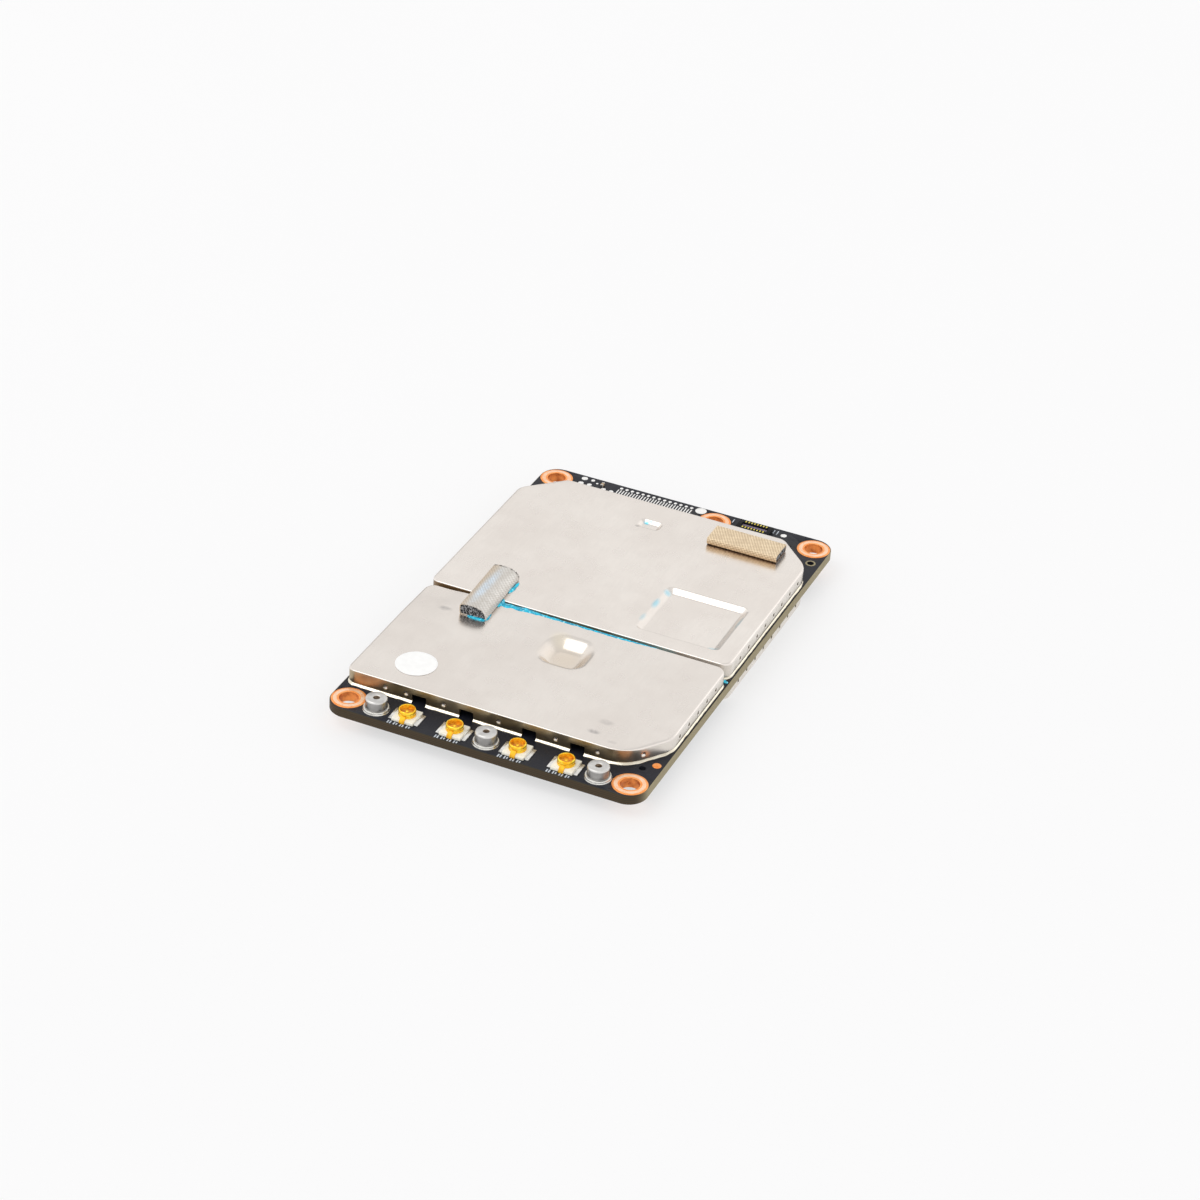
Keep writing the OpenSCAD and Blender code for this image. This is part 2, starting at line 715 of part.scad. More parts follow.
// Domed section of the bridging gasket, with an inset for the fabric
module dome_section(inset) {
    half = seam_gasket_w / 2 - inset;
    shoulder = seam_gasket_h - seam_gasket_crown - inset;
    crown_r = (half * half + seam_gasket_crown * seam_gasket_crown) / (2 * seam_gasket_crown);
    translate([-half, inset]) square([2 * half, shoulder - inset]);
    intersection() {
        translate([0, shoulder + seam_gasket_crown - crown_r]) circle(crown_r, $fn = 96);
        translate([-half, shoulder]) square([2 * half, seam_gasket_crown]);
    }
}

// The bridging gasket's length, with a step where it lies on the higher rear lid
module dome_run(inset) {
    on_top() translate([seam_gasket_at[0], seam_gasket_at[1], front_lid_h]) difference() {
        rotate([90, 0, 0]) linear_extrude(seam_gasket_l, center = true) dome_section(inset);
        translate([-seam_gasket_w / 2, -seam_gasket_shift - seam_gap / 2, 0])
            cube([seam_gasket_w, seam_gasket_l, lid_step + inset]);
    }
}

module seam_gasket_foam() {
    color([0.16, 0.15, 0.15]) dome_run(fabric_t);
}

module seam_gasket_fabric() {
    color([0.66, 0.64, 0.61]) difference() {
        dome_run(0);
        dome_run(fabric_t);
    }
}

module rear_gasket_block(inset) {
    size = [rear_gasket_l, rear_gasket_w - 2 * inset, rear_gasket_h - 2 * inset];
    on_top() translate([0, 0, rear_lid_h + inset]) block(rear_gasket_at, size);
}

module rear_gasket_foam() {
    color([0.16, 0.15, 0.15]) rear_gasket_block(fabric_t);
}

module rear_gasket_fabric() {
    color([0.74, 0.65, 0.5]) difference() {
        rear_gasket_block(0);
        rear_gasket_block(fabric_t);
    }
}

module seam_gel() {
    bead_l = lid_x - gel_end_margin - gel_x;
    bead_top = front_lid_h - gel_drop;
    fillet_y = seam_gasket_at[1] - seam_gasket_l / 2;
    fillet_l = rear_front_y - fillet_y;
    color([0.12, 0.66, 0.87]) on_top() translate([gel_x, 0, 0]) {
        translate([0, front_back_y, bead_top - gel_depth]) cube([bead_l, seam_gap, gel_depth]);
        translate([0, front_back_y, bead_top]) cube([gel_fillet_r, seam_gap, gel_drop]);
        translate([0, fillet_y, front_lid_h]) rotate([-90, 0, 0]) intersection() {
            cylinder(r = gel_fillet_r, h = fillet_l);
            translate([0, -gel_fillet_r, 0]) cube([gel_fillet_r, gel_fillet_r, fillet_l]);
        }
    }
}

module round_label() {
    color([0.97, 0.97, 0.96]) on_top()
        translate([-lid_x + label_side, front_y + label_front, front_lid_h])
            cylinder(d = label_d, h = label_t);
}

// Places of the connector's contacts, as [x, y, outward sign]
contact_places = [
    for (s = [-1, 1], k = [0 : connector_count - 1])
        [(k - (connector_count - 1) / 2) * connector_pitch, s * connector_row_gap / 2, s]
];

// One contact: a post in the housing's wall and a tail on the board
module contact(c) {
    outer = connector_w / 2 + tail_l;
    block(c, [contact_w, contact_l, connector_h]);
    translate([c[0] - contact_w / 2, c[2] > 0 ? c[1] : -outer, 0])
        cube([contact_w, outer - connector_row_gap / 2, tail_t]);
}

module connector_housing() {
    channel_l = connector_l - 2 * channel_wall;
    color([0.07, 0.07, 0.08]) on_top() translate(connector_at) difference() {
        block([0, 0], [connector_l, connector_w, connector_h]);
        translate([0, 0, connector_h / 2]) block([0, 0], [channel_l, channel_w, connector_h / 2]);
        for (c = contact_places) contact(c);
    }
}

module connector_contacts() {
    color([0.9, 0.75, 0.25]) on_top() translate(connector_at) for (c = contact_places) contact(c);
}

module strip_capacitor() {
    size = [strip_capacitor_w, strip_capacitor_l, strip_capacitor_w];
    color([0.78, 0.66, 0.5]) on_top() block(strip_capacitor_at, size);
}

module baseband_processor() {
    color([0.12, 0.12, 0.13]) on_top() block(main_pocket_at, [processor_w, processor_w, processor_h]);
}

// Gel between a chip and the pocket above it
module pocket_gel(at, size, lean, depth, h, chip) {
    low = size - [2 * lean, 2 * lean];
    color([0.12, 0.66, 0.87]) on_top() translate([0, 0, chip])
        block(at, [low[0], low[1], h - depth - sheet_t - chip]);
}

module processor_gel() {
    lean = max(main_pocket_lean, (main_pocket_w - processor_w) / 2, (main_pocket_l - processor_w) / 2);
    pocket_gel(
        main_pocket_at, [main_pocket_w, main_pocket_l], lean,
        main_pocket_depth, rear_lid_h, processor_h
    );
}

module radio_transceiver() {
    color([0.12, 0.12, 0.13]) on_top()
        block(front_pocket_at, [transceiver_w, transceiver_w, transceiver_h]);
}

module transceiver_gel() {
    pocket_gel(
        front_pocket_at, [front_pocket_w, front_pocket_l], front_pocket_lean,
        front_pocket_depth, front_lid_h, transceiver_h
    );
}

module power_manager() {
    color([0.12, 0.12, 0.13]) on_top()
        block(small_pocket_at, [power_manager_w, power_manager_w, power_manager_h]);
}

module power_gel() {
    pocket_gel(
        small_pocket_at, [small_pocket_w, small_pocket_l], small_pocket_lean,
        small_pocket_depth, rear_lid_h, power_manager_h
    );
}

module memory_chip() {
    color([0.12, 0.12, 0.13]) on_top() block(memory_at, [memory_w, memory_l, chip_h]);
}

module flash_chip() {
    color([0.12, 0.12, 0.13]) below() block(flash_at, [flash_w, flash_l, chip_h]);
}

module power_inductors() {
    step = inductor_w + inductor_gap;
    color([0.25, 0.25, 0.26]) on_top() for (k = [1 : 3])
        block(small_pocket_at - [power_manager_w / 2 + k * step, 0], [inductor_w, inductor_w, inductor_h]);
}

module bulk_capacitors() {
    color([0.7, 0.58, 0.42]) below() for (s = [-1, 1], k = [-1 : 1])
        block([s * (flash_w / 2 + bulk_w), flash_at[1] + k * 2 * bulk_l], [bulk_w, bulk_l, chip_h]);
}

module reference_oscillator() {
    color([0.85, 0.8, 0.68]) on_top()
        block(oscillator_at, [oscillator_w, oscillator_l, chip_h]);
}

module rf_filters() {
    color([0.8, 0.78, 0.72]) below() for (x = port_x)
        block([x, front_end_y + front_end_w], [filter_w, filter_w, chip_h]);
}

module matching_capacitors() {
    color([0.7, 0.58, 0.42]) on_top() for (x = port_x, s = [-1, 1])
        block([x + s * front_end_w / 3, front_end_y + front_end_w], [matching_w, matching_l, matching_w]);
}

module rf_front_end(k) {
    color([0.15, 0.15, 0.16]) on_top()
        block([port_x[k - 1], front_end_y], [front_end_w, front_end_w, chip_h]);
}

circuit_board();
mounting_lands();
copper_fiducial();
test_pads();
edge_pads();
front_shield_frame();
front_shield_lid();
rear_shield_frame();
rear_shield_lid();
under_rear_frame();
under_rear_lid();
under_front_frame();
under_front_lid();
for (k = ports) {
    antenna_socket_housing(k);
    antenna_socket_shell(k);
    antenna_socket_pin(k);
    rf_front_end(k);
}
for (k = posts) {
    standoff(k);
}
seam_gasket_foam();
seam_gasket_fabric();
rear_gasket_foam();
rear_gasket_fabric();
seam_gel();
round_label();
connector_housing();
connector_contacts();
strip_capacitor();
baseband_processor();
processor_gel();
radio_transceiver();
transceiver_gel();
power_manager();
power_gel();
memory_chip();
flash_chip();
power_inductors();
bulk_capacitors();
reference_oscillator();
rf_filters();
matching_capacitors();
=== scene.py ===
"""Looks of a software defined radio module: meshes, finishes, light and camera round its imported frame.

Sizes are in millimetres unless a name says otherwise; build() turns them into Blender's metres.
"""

import json
import math

import bmesh
import bpy
import numpy as np
from mathutils import Matrix, Vector, noise
from mathutils.geometry import delaunay_2d_cdt


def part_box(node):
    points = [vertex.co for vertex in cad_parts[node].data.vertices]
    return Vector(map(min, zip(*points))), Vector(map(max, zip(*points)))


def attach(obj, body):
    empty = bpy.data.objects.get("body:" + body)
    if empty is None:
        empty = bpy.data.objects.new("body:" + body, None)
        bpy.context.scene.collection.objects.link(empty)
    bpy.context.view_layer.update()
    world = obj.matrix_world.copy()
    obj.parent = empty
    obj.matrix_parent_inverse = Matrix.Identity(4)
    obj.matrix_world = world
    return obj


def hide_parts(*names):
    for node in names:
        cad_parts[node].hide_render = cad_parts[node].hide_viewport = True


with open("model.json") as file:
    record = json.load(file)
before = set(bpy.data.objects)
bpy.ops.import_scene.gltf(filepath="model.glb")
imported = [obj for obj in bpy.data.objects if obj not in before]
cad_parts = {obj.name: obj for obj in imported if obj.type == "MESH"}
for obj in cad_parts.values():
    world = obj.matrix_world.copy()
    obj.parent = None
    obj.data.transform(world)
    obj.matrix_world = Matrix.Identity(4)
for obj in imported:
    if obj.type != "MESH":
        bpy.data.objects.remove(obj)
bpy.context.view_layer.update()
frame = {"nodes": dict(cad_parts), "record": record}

MM = 0.001
BODY = "root"
WELD = 2e-7  # metres


def box(node):
    """Lowest and highest corner of a CAD node."""
    lo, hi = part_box(node)
    return np.array(lo) / MM, np.array(hi) / MM


def middle(node):
    """Centre of a CAD node's box."""
    lo, hi = box(node)
    return (lo + hi) / 2


# Board
BOARD_LO, BOARD_HI = box("circuit_board")
TOP, UNDER = BOARD_HI[2], BOARD_LO[2]
BOARD_CORNER_R = 2.3
BOARD_EDGE = 0.07
HOLE_R, LAND_R = 1.1, 2.0
TOOLING_R = 0.4
LAND_T = box("mounting_lands")[1][2] - TOP
PAD_T = box("test_pads")[1][2] - TOP
HOLE_X, HOLE_Y = box("mounting_lands")[1][:2] - LAND_R
FIFTH_HOLE_STEP = 12.9
HOLES = [(x, y) for x in (-HOLE_X, HOLE_X) for y in (-HOLE_Y, HOLE_Y)]
HOLES.append((HOLE_X - FIFTH_HOLE_STEP, HOLE_Y))
FRONT_TOOLING = (HOLE_X, BOARD_LO[1] + 5.65)
REAR_TOOLING = (BOARD_HI[0] - 1.25, BOARD_HI[1] - 5.5)

# Pressed sheet
FRONT_LO, FRONT_HI = box("front_shield_lid")
REAR_LO, REAR_HI = box("rear_shield_lid")
SHEET = 0.2
BEND_R, FRONT_BEND, REAR_BEND = 0.34, 0.12, 0.13
CORNER_R = 1.2
FRONT_CUT = (3.6, 5.0)
REAR_CUT = 4.5
FRONT_CUT_R, SIDE_CUT_R, REAR_CUT_R = 4.5, 3.4, 1.7
SKIRT_GAP, TOP_DIP = 0.34, 0.012
GAP_W, GAP_H = 1.7, 1.1
DENT_R, DENT_DEPTH, DENT_PITCH = 0.29, 0.15, 2.55
FRAME_OUT, FRAME_IN, RIM_IN = 0.25, 0.45, 0.9
FOOT_OUT, FOOT_T, FILLET_H = 0.1, 0.1, 0.4
LID_STEP, FRAME_STEP, GRID_STEP = 0.5, 0.3, 0.6
RIM_CLEAR, BEND_STEPS = 0.12, 10
STATION_GAP, LINE_GAP = 0.004, 0.03
DENT_LOOK = 0.85  # dent radii
FRONT_FACING = -0.08  # outward normal along Y

# Gaskets: the grey one across the seam and the tan one on the rear lid
SEAM_LO, SEAM_HI = box("seam_gasket_fabric")
TAN_LO, TAN_HI = box("rear_gasket_fabric")
SEAM_PITCH, REAR_PITCH = 0.4, 0.37

SOFTBOX = Vector((-0.38, -0.36, 0.85))

PORTS = [middle(f"antenna_socket_{k}_shell") for k in (1, 2, 3, 4)]
POSTS = [middle(f"standoff_{k}") for k in (1, 2, 3)]


class Shape:
    """Points and faces that grow into one piece."""

    def __init__(self):
        self.points, self.faces, self.picks = [], [], []

    def add(self, part, pick=0):
        points, faces = part
        start = len(self.points)
        self.points += [tuple(p) for p in points]
        self.faces += [[start + i for i in f] for f in faces]
        self.picks += [pick] * len(faces)
        return self


def skin(rows, lap=False, caps=False):
    """Quads between closed rows of points. Lap joins the last row to the first."""
    count, total = len(rows[0]), len(rows)
    faces = []
    for r in range(total if lap else total - 1):
        a, b = r * count, (r + 1) % total * count
        for c in range(count):
            d = (c + 1) % count
            faces.append([a + c, a + d, b + d, b + c])
    if caps:
        last = (total - 1) * count
        faces += [list(range(count))[::-1], list(range(last, last + count))]
    return [p for row in rows for p in row], faces


def circle(x, y, r, sides=48):
    turns = [2 * math.pi * k / sides for k in range(sides)]
    return [(x + r * math.cos(a), y + r * math.sin(a)) for a in turns]


def lathe(profile, at, sides=48, lap=False):
    """Turns a profile of (radius, height) about an upright axis at a place."""
    x, y, z = at
    rows = [[(*p, z + h) for p in circle(x, y, r, sides)] for r, h in profile]
    return skin(rows, lap=lap)


def soft_box(a, b, edge, steps=2):
    """A box between two opposite corners, with rounded edges."""
    lo, hi = np.sort(np.array((a, b), float), axis=0)
    bm = bmesh.new()
    bmesh.ops.create_cube(bm, size=1)
    for v in bm.verts:
        v.co = Vector((np.array(v.co) + 0.5) * (hi - lo) + lo)
    bmesh.ops.bevel(bm, geom=bm.edges[:], offset=edge, segments=steps, profile=0.5, affect="EDGES")
    bm.verts.index_update()
    part = [tuple(v.co) for v in bm.verts], [[v.index for v in f.verts] for f in bm.faces]
    bm.free()
    return part


def fill(loop, inner=(), holes=(), height=lambda x, y: 0.0):
    """Triangles inside a loop, through inner points and round holes (x, y, r, points)."""
    points, edges = [Vector(p) for p in loop], []
    for *_, ring in holes:
        start, count = len(points), len(ring)
        edges += [(start + k, start + (k + 1) % count) for k in range(count)]
        points += [Vector(p) for p in ring]
    points += [Vector(p) for p in inner]
    found, _, faces, *_ = delaunay_2d_cdt(points, edges, [list(range(len(loop)))], 1, 1e-7)
    kept = []
    for f in faces:
        cx, cy = sum((found[i] for i in f), Vector((0, 0))) / len(f)
        if all(math.hypot(cx - x, cy - y) > r * 0.98 for x, y, r, _ in holes):
            kept.append(list(f))
    return [(p.x, p.y, height(p.x, p.y)) for p in found], kept


def wobble(x, y, z=0.0, size=1.0):
    """Smooth noise from about -1 to 1 with features of a size."""
    return noise.noise(Vector((x, y, z)) / size)


class Outline:
    """A closed anticlockwise outline of straight edges and rounded corners (x, y, radius)."""

    ARC_STEP = 0.16

    def __init__(self, corners):
        arcs, count = [], len(corners)
        for k, (x, y, r) in enumerate(corners):
            p = np.array((x, y), float)
            a = np.array(corners[k - 1][:2]) - p
            b = np.array(corners[(k + 1) % count][:2]) - p
            a, b = a / np.linalg.norm(a), b / np.linalg.norm(b)
            half = math.acos(a @ b) / 2
            centre = p + (a + b) / np.linalg.norm(a + b) * r / math.sin(half)
            first = p + a * r / math.tan(half) - centre
            arcs.append((centre, r, math.atan2(first[1], first[0]), math.pi - 2 * half))
        self.runs, self.length = [], 0.0
        for k, arc in enumerate(arcs):
            self._add("arc", arc, arc[1] * arc[3])
            start, end = self._arc(arc, 1)[:2], self._arc(arcs[(k + 1) % count], 0)[:2]
            self._add("line", (start, end), math.dist(start, end))

    def _add(self, kind, data, length):
        self.runs.append((kind, data, self.length, length))
        self.length += length

    @staticmethod
    def _arc(arc, share):
        (x, y), r, start, turn = arc
        c, s = math.cos(start + turn * share), math.sin(start + turn * share)
        return x + r * c, y + r * s, c, s

    def at(self, s):
        """Point and outward normal at a distance along the outline."""
        s %= self.length
        for kind, data, start, length in self.runs:
            if s <= start + length:
                break
        share = (s - start) / length
        if kind == "arc":
            return self._arc(data, share)
        (x0, y0), (x1, y1) = data
        return x0 + (x1 - x0) * share, y0 + (y1 - y0) * share, (y1 - y0) / length, (x0 - x1) / length

    def place(self, x, y):
        """Distance along the outline of the point on a straight edge nearest to a place."""
        best = (math.inf, 0.0)
        for kind, data, start, length in self.runs:
            if kind == "line":
                a, d = np.array(data[0]), np.array(data[1]) - np.array(data[0])
                share = min(1.0, max(0.0, (np.array((x, y)) - a) @ d / (d @ d)))
                best = min(best, (math.dist(a + d * share, (x, y)), start + length * share))
        return best[1]

    def stations(self, step, extra=()):
        """Distances along the outline: close in the corners, a step apart elsewhere, and the extra ones."""
        found = {round(s % self.length, 6) for s in extra}
        for kind, _, start, length in self.runs:
            parts = max(2, math.ceil(length / (self.ARC_STEP if kind == "arc" else step)))
            found |= {round(start + length * k / parts, 6) for k in range(parts)}
        kept = []
        for s in sorted(found):
            if not kept or s - kept[-1] > STATION_GAP:
                kept.append(s)
        return kept


def build(name, shape, finishes, nodes=(), sharp=38.0, sheet=None):
    """Makes a piece that rides on the body, smooth apart from its sharp edges, and stands for CAD nodes."""
    mesh = bpy.data.meshes.new(name)
    mesh.from_pydata([[c * MM for c in p] for p in shape.points], [], shape.faces)
    for finish in finishes:
        mesh.materials.append(finish)
    mesh.polygons.foreach_set("material_index", shape.picks)
    obj = bpy.data.objects.new(name, mesh)
    bpy.context.scene.collection.objects.link(obj)
    clean(mesh)
    if sheet:
        thicken(obj, sheet)
    obj.data.polygons.foreach_set("use_smooth", [True] * len(obj.data.polygons))
    obj.data.set_sharp_from_angle(angle=math.radians(sharp))
    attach(obj, BODY)
    if nodes:
        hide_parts(*nodes)
    return obj


def clean(mesh):
    """Welds a mesh, drops loose points and turns its faces outward."""
    bm = bmesh.new()
    bm.from_mesh(mesh)
    bmesh.ops.remove_doubles(bm, verts=bm.verts, dist=WELD)
    bmesh.ops.delete(bm, geom=[v for v in bm.verts if not v.link_faces], context="VERTS")
    bmesh.ops.recalc_face_normals(bm, faces=bm.faces)
    bm.to_mesh(mesh)
    bm.free()


def thicken(obj, sheet):
    """Gives an open sheet its thickness, inward from its outer face. Outward is 1 if that face looks up."""
    thickness, outward = sheet
    mesh = obj.data
    up = sum(p.normal.z * p.area for p in mesh.polygons)
    if up * outward < 0:
        mesh.flip_normals()
    solid = obj.modifiers.new("sheet", "SOLIDIFY")
    solid.thickness, solid.offset, solid.use_even_offset = thickness * MM, -1.0, True
    made = bpy.data.meshes.new_from_object(obj.evaluated_get(bpy.context.evaluated_depsgraph_get()))
    obj.modifiers.clear()
    obj.data = made
    clean(made)


class Nodes:
    """The node tree of a material or a world, and short ways to add to it."""

    def __init__(self, owner):
        owner.use_nodes = True
        self.tree = owner.node_tree

    def node(self, kind, **settings):
        made = self.tree.nodes.new(kind)
        for key, value in settings.items():
            setattr(made, key, value)
        return made

    def feed(self, target, source):
        if isinstance(source, bpy.types.NodeSocket):
            self.tree.links.new(source, target)
        else:
            target.default_value = source

    def math(self, operation, a, b=0.0):
        node = self.node("ShaderNodeMath", operation=operation)
        self.feed(node.inputs[0], a)
        self.feed(node.inputs[1], b)
        return node.outputs[0]

    def vector(self, operation, a, b=(0, 0, 0)):
        node = self.node("ShaderNodeVectorMath", operation=operation)
        self.feed(node.inputs[0], a)
        self.feed(node.inputs[1], b)
        return node.outputs["Value" if operation in ("LENGTH", "DOT_PRODUCT") else "Vector"]

    def span(self, value, low, high, start=0.0, end=1.0):
        """Carries a value from one range to another, smoothly and without overshoot."""
        node = self.node("ShaderNodeMapRange", interpolation_type="SMOOTHSTEP")
        for socket, v in zip(node.inputs, (value, low, high, start, end)):
            self.feed(socket, v)
        return node.outputs[0]


class Finish(Nodes):
    """A procedural material: one principled shader and the nodes that feed it."""

    def __init__(self, name, **sockets):
        self.material = bpy.data.materials.new(name)
        super().__init__(self.material)
        self.shader = self.tree.nodes["Principled BSDF"]
        self.coords = self.node("ShaderNodeTexCoord").outputs["Object"]
        self.normal = None
        for socket, value in sockets.items():
            self.shader.inputs[socket.replace("_", " ").title().replace("Ior", "IOR")].default_value = value

    def scaled(self, size, stretch):
        """Coordinates where one unit is so many millimetres; stretch lengthens features along an axis."""
        return self.vector("MULTIPLY", self.coords, [1 / (size * MM * s) for s in stretch])

    def noise(self, size, detail=3.0, stretch=(1, 1, 1)):
        node = self.node("ShaderNodeTexNoise")
        node.inputs["Scale"].default_value = 1.0
        node.inputs["Detail"].default_value = detail
        self.feed(node.inputs["Vector"], self.scaled(size, stretch))
        return node.outputs["Fac"]

    def cells(self, size, feature="F1"):
        node = self.node("ShaderNodeTexVoronoi", feature=feature)
        node.inputs["Scale"].default_value = 1.0
        self.feed(node.inputs["Vector"], self.scaled(size, (1, 1, 1)))
        return node.outputs["Distance"]

    def axis(self, name):
        node = self.node("ShaderNodeSeparateXYZ")
        self.feed(node.inputs[0], self.coords)
        return node.outputs[name]

    def mix(self, factor, a, b, blend="MIX"):
        node = self.node("ShaderNodeMix", data_type="RGBA", blend_type=blend)
        for socket, v in zip((node.inputs[0], node.inputs[6], node.inputs[7]), (factor, a, b)):
            self.feed(socket, v if isinstance(v, (float, bpy.types.NodeSocket)) else (*v, 1.0))
        return node.outputs[2]

    def spot(self, x, y, size, stretch=(1, 1)):
        """1 at a place seen from above, falling to 0 at a distance."""
        away = self.vector("SUBTRACT", self.coords, (x * MM, y * MM, 0))
        away = self.vector("MULTIPLY", away, (1 / stretch[0], 1 / stretch[1], 0))
        return self.span(self.vector("LENGTH", away), 0.15 * size * MM, size * MM, 1.0, 0.0)

    def bump(self, height, depth):
        node = self.node("ShaderNodeBump")
        node.inputs["Distance"].default_value = depth * MM
        self.feed(node.inputs["Height"], height)
        if self.normal:
            self.feed(node.inputs["Normal"], self.normal)
        self.normal = node.outputs["Normal"]

    def done(self, color, roughness):
        self.feed(self.shader.inputs["Base Color"], color)
        self.feed(self.shader.inputs["Roughness"], roughness)
        if self.normal:
            self.feed(self.shader.inputs["Normal"], self.normal)
        return self.material


def mask_finish():
    """Dark solder mask with the faint relief of the tracks below it."""
    f = Finish("solder_mask", specular_ior_level=0.3)
    cloud = f.noise(2.5, 4)
    f.bump(f.span(f.cells(0.9, "DISTANCE_TO_EDGE"), 0.04, 0.09), 0.004)
    f.bump(f.noise(0.12, 2), 0.004)
    color = f.mix(cloud, (0.009, 0.01, 0.016), (0.015, 0.016, 0.024))
    return f.done(color, f.span(cloud, 0.3, 0.7, 0.42, 0.54))


def laminate_finish():
    """Sawn edge of the glass laminate: fibre layers and dark copper lines, and a front darkened by painted
    shade.
    """
    f = Finish("laminate_edge", specular_ior_level=0.25)
    fibre, cloud = f.noise(0.09, 4, (14, 14, 1)), f.noise(1.6, 3)
    z, lines = f.axis("Z"), 0.0
    for share in (0.2, 0.42, 0.64, 0.84):
        level = (UNDER + (TOP - UNDER) * share) * MM
        near = f.math("ABSOLUTE", f.math("SUBTRACT", z, level))
        lines = f.math("MAXIMUM", lines, f.span(near, 0.012 * MM, 0.035 * MM, 1.0, 0.0))
    color = f.mix(fibre, (0.24, 0.2, 0.11), (0.4, 0.35, 0.225))
    color = f.mix(f.span(cloud, 0.45, 0.75, 0.0, 0.5), color, (0.28, 0.24, 0.13))
    color = f.mix(f.math("MULTIPLY", lines, 0.55), color, (0.13, 0.07, 0.035))
    # Painted shade: towards the front the edge turns nearly black-brown, with the copper lines still showing.
    near = BOARD_LO[1] + 0.5
    front = f.span(f.axis("Y"), near * MM, (near + BOARD_CORNER_R) * MM, 0.93, 0.0)
    color = f.mix(front, color, f.mix(lines, (0.02, 0.012, 0.004), (0.07, 0.03, 0.01)))
    f.bump(fibre, 0.02)
    return f.done(color, f.span(fibre, 0.3, 0.7, 0.5, 0.7))


def metal(name, dark, light, rough, grain, depth, mottle=3.0, metallic=1.0):
    """Metal with cloudy colour, uneven polish and a fine grain."""
    f = Finish(name, metallic=metallic)
    cloud = f.noise(mottle, 4)
    fine = f.noise(grain, 3)
    f.bump(fine, depth)
    return f.done(f.mix(f.span(cloud, 0.3, 0.7), dark, light), f.span(cloud, 0.25, 0.75, *rough))


def lid_finish(name, tone=1.0, smudges=(), tints_and_painted_light=()):
    """Pressed nickel silver: rolled grain, faint orange peel, handling smudges and tinted places, which carry
    traces of gel and painted light and shade.
    """
    f = Finish(name, metallic=1.0)
    cloud, rolled = f.noise(7, 4), f.noise(0.25, 3, (1, 9, 1))
    dark, light = [[tone * c for c in shade] for shade in ((0.79, 0.735, 0.69), (0.835, 0.785, 0.74))]
    color = f.mix(f.span(cloud, 0.3, 0.7), dark, light)
    color = f.mix(f.span(rolled, 0.35, 0.65, 0.0, 0.1), color, (0.7, 0.645, 0.6))
    for x, y, size, strength in smudges:
        patchy = f.span(f.noise(0.9, 2), 0.3, 0.75, 0.2, strength)
        color = f.mix(f.math("MULTIPLY", f.spot(x, y, size, (1.5, 0.8)), patchy), color, (0.36, 0.34, 0.34))
    # Tinted places: traces of gel, and painted light and shade.
    for x, y, size, stretch, strength, tint in tints_and_painted_light:
        color = f.mix(f.math("MULTIPLY", f.spot(x, y, size, stretch), strength), color, tint)
    f.bump(cloud, 0.003)
    f.bump(f.noise(0.8, 2), 0.0008)
    f.bump(rolled, 0.0004)
    return f.done(color, f.span(f.noise(2.2, 5), 0.3, 0.7, 0.23, 0.28))


def painted_skirt_shade_finish(name, dark, light, start, end, metallic=1.0):
    """A front skirt's metal with painted shade: brown, and pale towards its right end as painted light,
    between two places along X.
    """
    f = Finish(name, metallic=metallic)
    cloud = f.noise(3, 4)
    # Painted shade in brown, turning to painted light towards the right end.
    brown = f.mix(f.span(cloud, 0.3, 0.7), dark, light)
    f.bump(f.noise(0.3, 3), 0.0006)
    color = f.mix(f.span(f.axis("X"), start * MM, end * MM), brown, (0.76, 0.71, 0.65))
    return f.done(color, f.span(cloud, 0.25, 0.75, 0.28, 0.36))


def weave_finish(name, warp, weft, shade, pitch, metallic, depth, tints_and_painted_light=(), slant=0.0, sides=(), frayed=None):
    """Metallised plain weave; the crossing threads change colour and shine.

    Tinted patches (x, y, reach along x, reach along y, colour, strength) paint light and shade on the cloth.
    Slant turns its threads, sides (low, high, tint) paint shade on it below a height, and frayed is the place
    along Y of a cut end where dark threads show.
    """
    f = Finish(name, metallic=metallic)
    wave = 2 * math.pi / (pitch * MM)
    a, b = f.axis("X"), f.math("ADD", f.axis("Y"), f.axis("Z"))
    lengths = f.math("COSINE", f.math("MULTIPLY", f.math("ADD", a, f.math("MULTIPLY", b, slant)), wave))
    rounds = f.math("COSINE", f.math("MULTIPLY", f.math("SUBTRACT", b, f.math("MULTIPLY", a, slant)), wave))
    over = f.span(f.math("SUBTRACT", rounds, lengths), -0.8, 0.8)
    cloud = f.noise(1.1, 4)
    # Tinted patches: painted light and shade.
    for x, y, wide, long, tint, strength in tints_and_painted_light:
        inside = f.math("MULTIPLY", f.spot(x, y, 1.0, (wide, long)), strength)
        warp, weft = f.mix(inside, warp, [0.74 * c for c in tint]), f.mix(inside, weft, tint)
    color = f.mix(over, warp, weft)
    color = f.mix(f.span(cloud, 0.4, 0.75, 0.0, 0.45), color, shade)
    color = f.mix(f.span(f.noise(0.2, 2), 0.52, 0.68, 0.0, 0.6), color, shade)
    # Sides: painted shade below a height.
    for low, high, tint in sides:
        color = f.mix(f.span(f.axis("Z"), low * MM, high * MM, 1.0, 0.0), color, tint, "MULTIPLY")
    if frayed is not None:
        near = f.span(f.axis("Y"), (frayed - 0.4) * MM, (frayed - 0.15) * MM)
        threads = f.span(f.noise(0.26, 2, (1, 4, 4)), 0.4, 0.55)
        color = f.mix(f.math("MULTIPLY", near, threads), color, (0.05, 0.04, 0.035))
    f.bump(over, depth)
    f.bump(f.noise(0.05, 2), 0.004)
    return f.done(color, f.span(over, 0.0, 1.0, 0.46, 0.32))


def plain(name, dark, light, rough, size, depth, **sockets):
    """Moulded, printed or sintered surface: cloudy colour and a fine texture."""
    f = Finish(name, **sockets)
    cloud, fine = f.noise(size * 6, 3), f.noise(size, 4)
    f.bump(fine, depth)
    return f.done(f.mix(f.span(cloud, 0.3, 0.7), dark, light), f.span(fine, 0.3, 0.7, *rough))


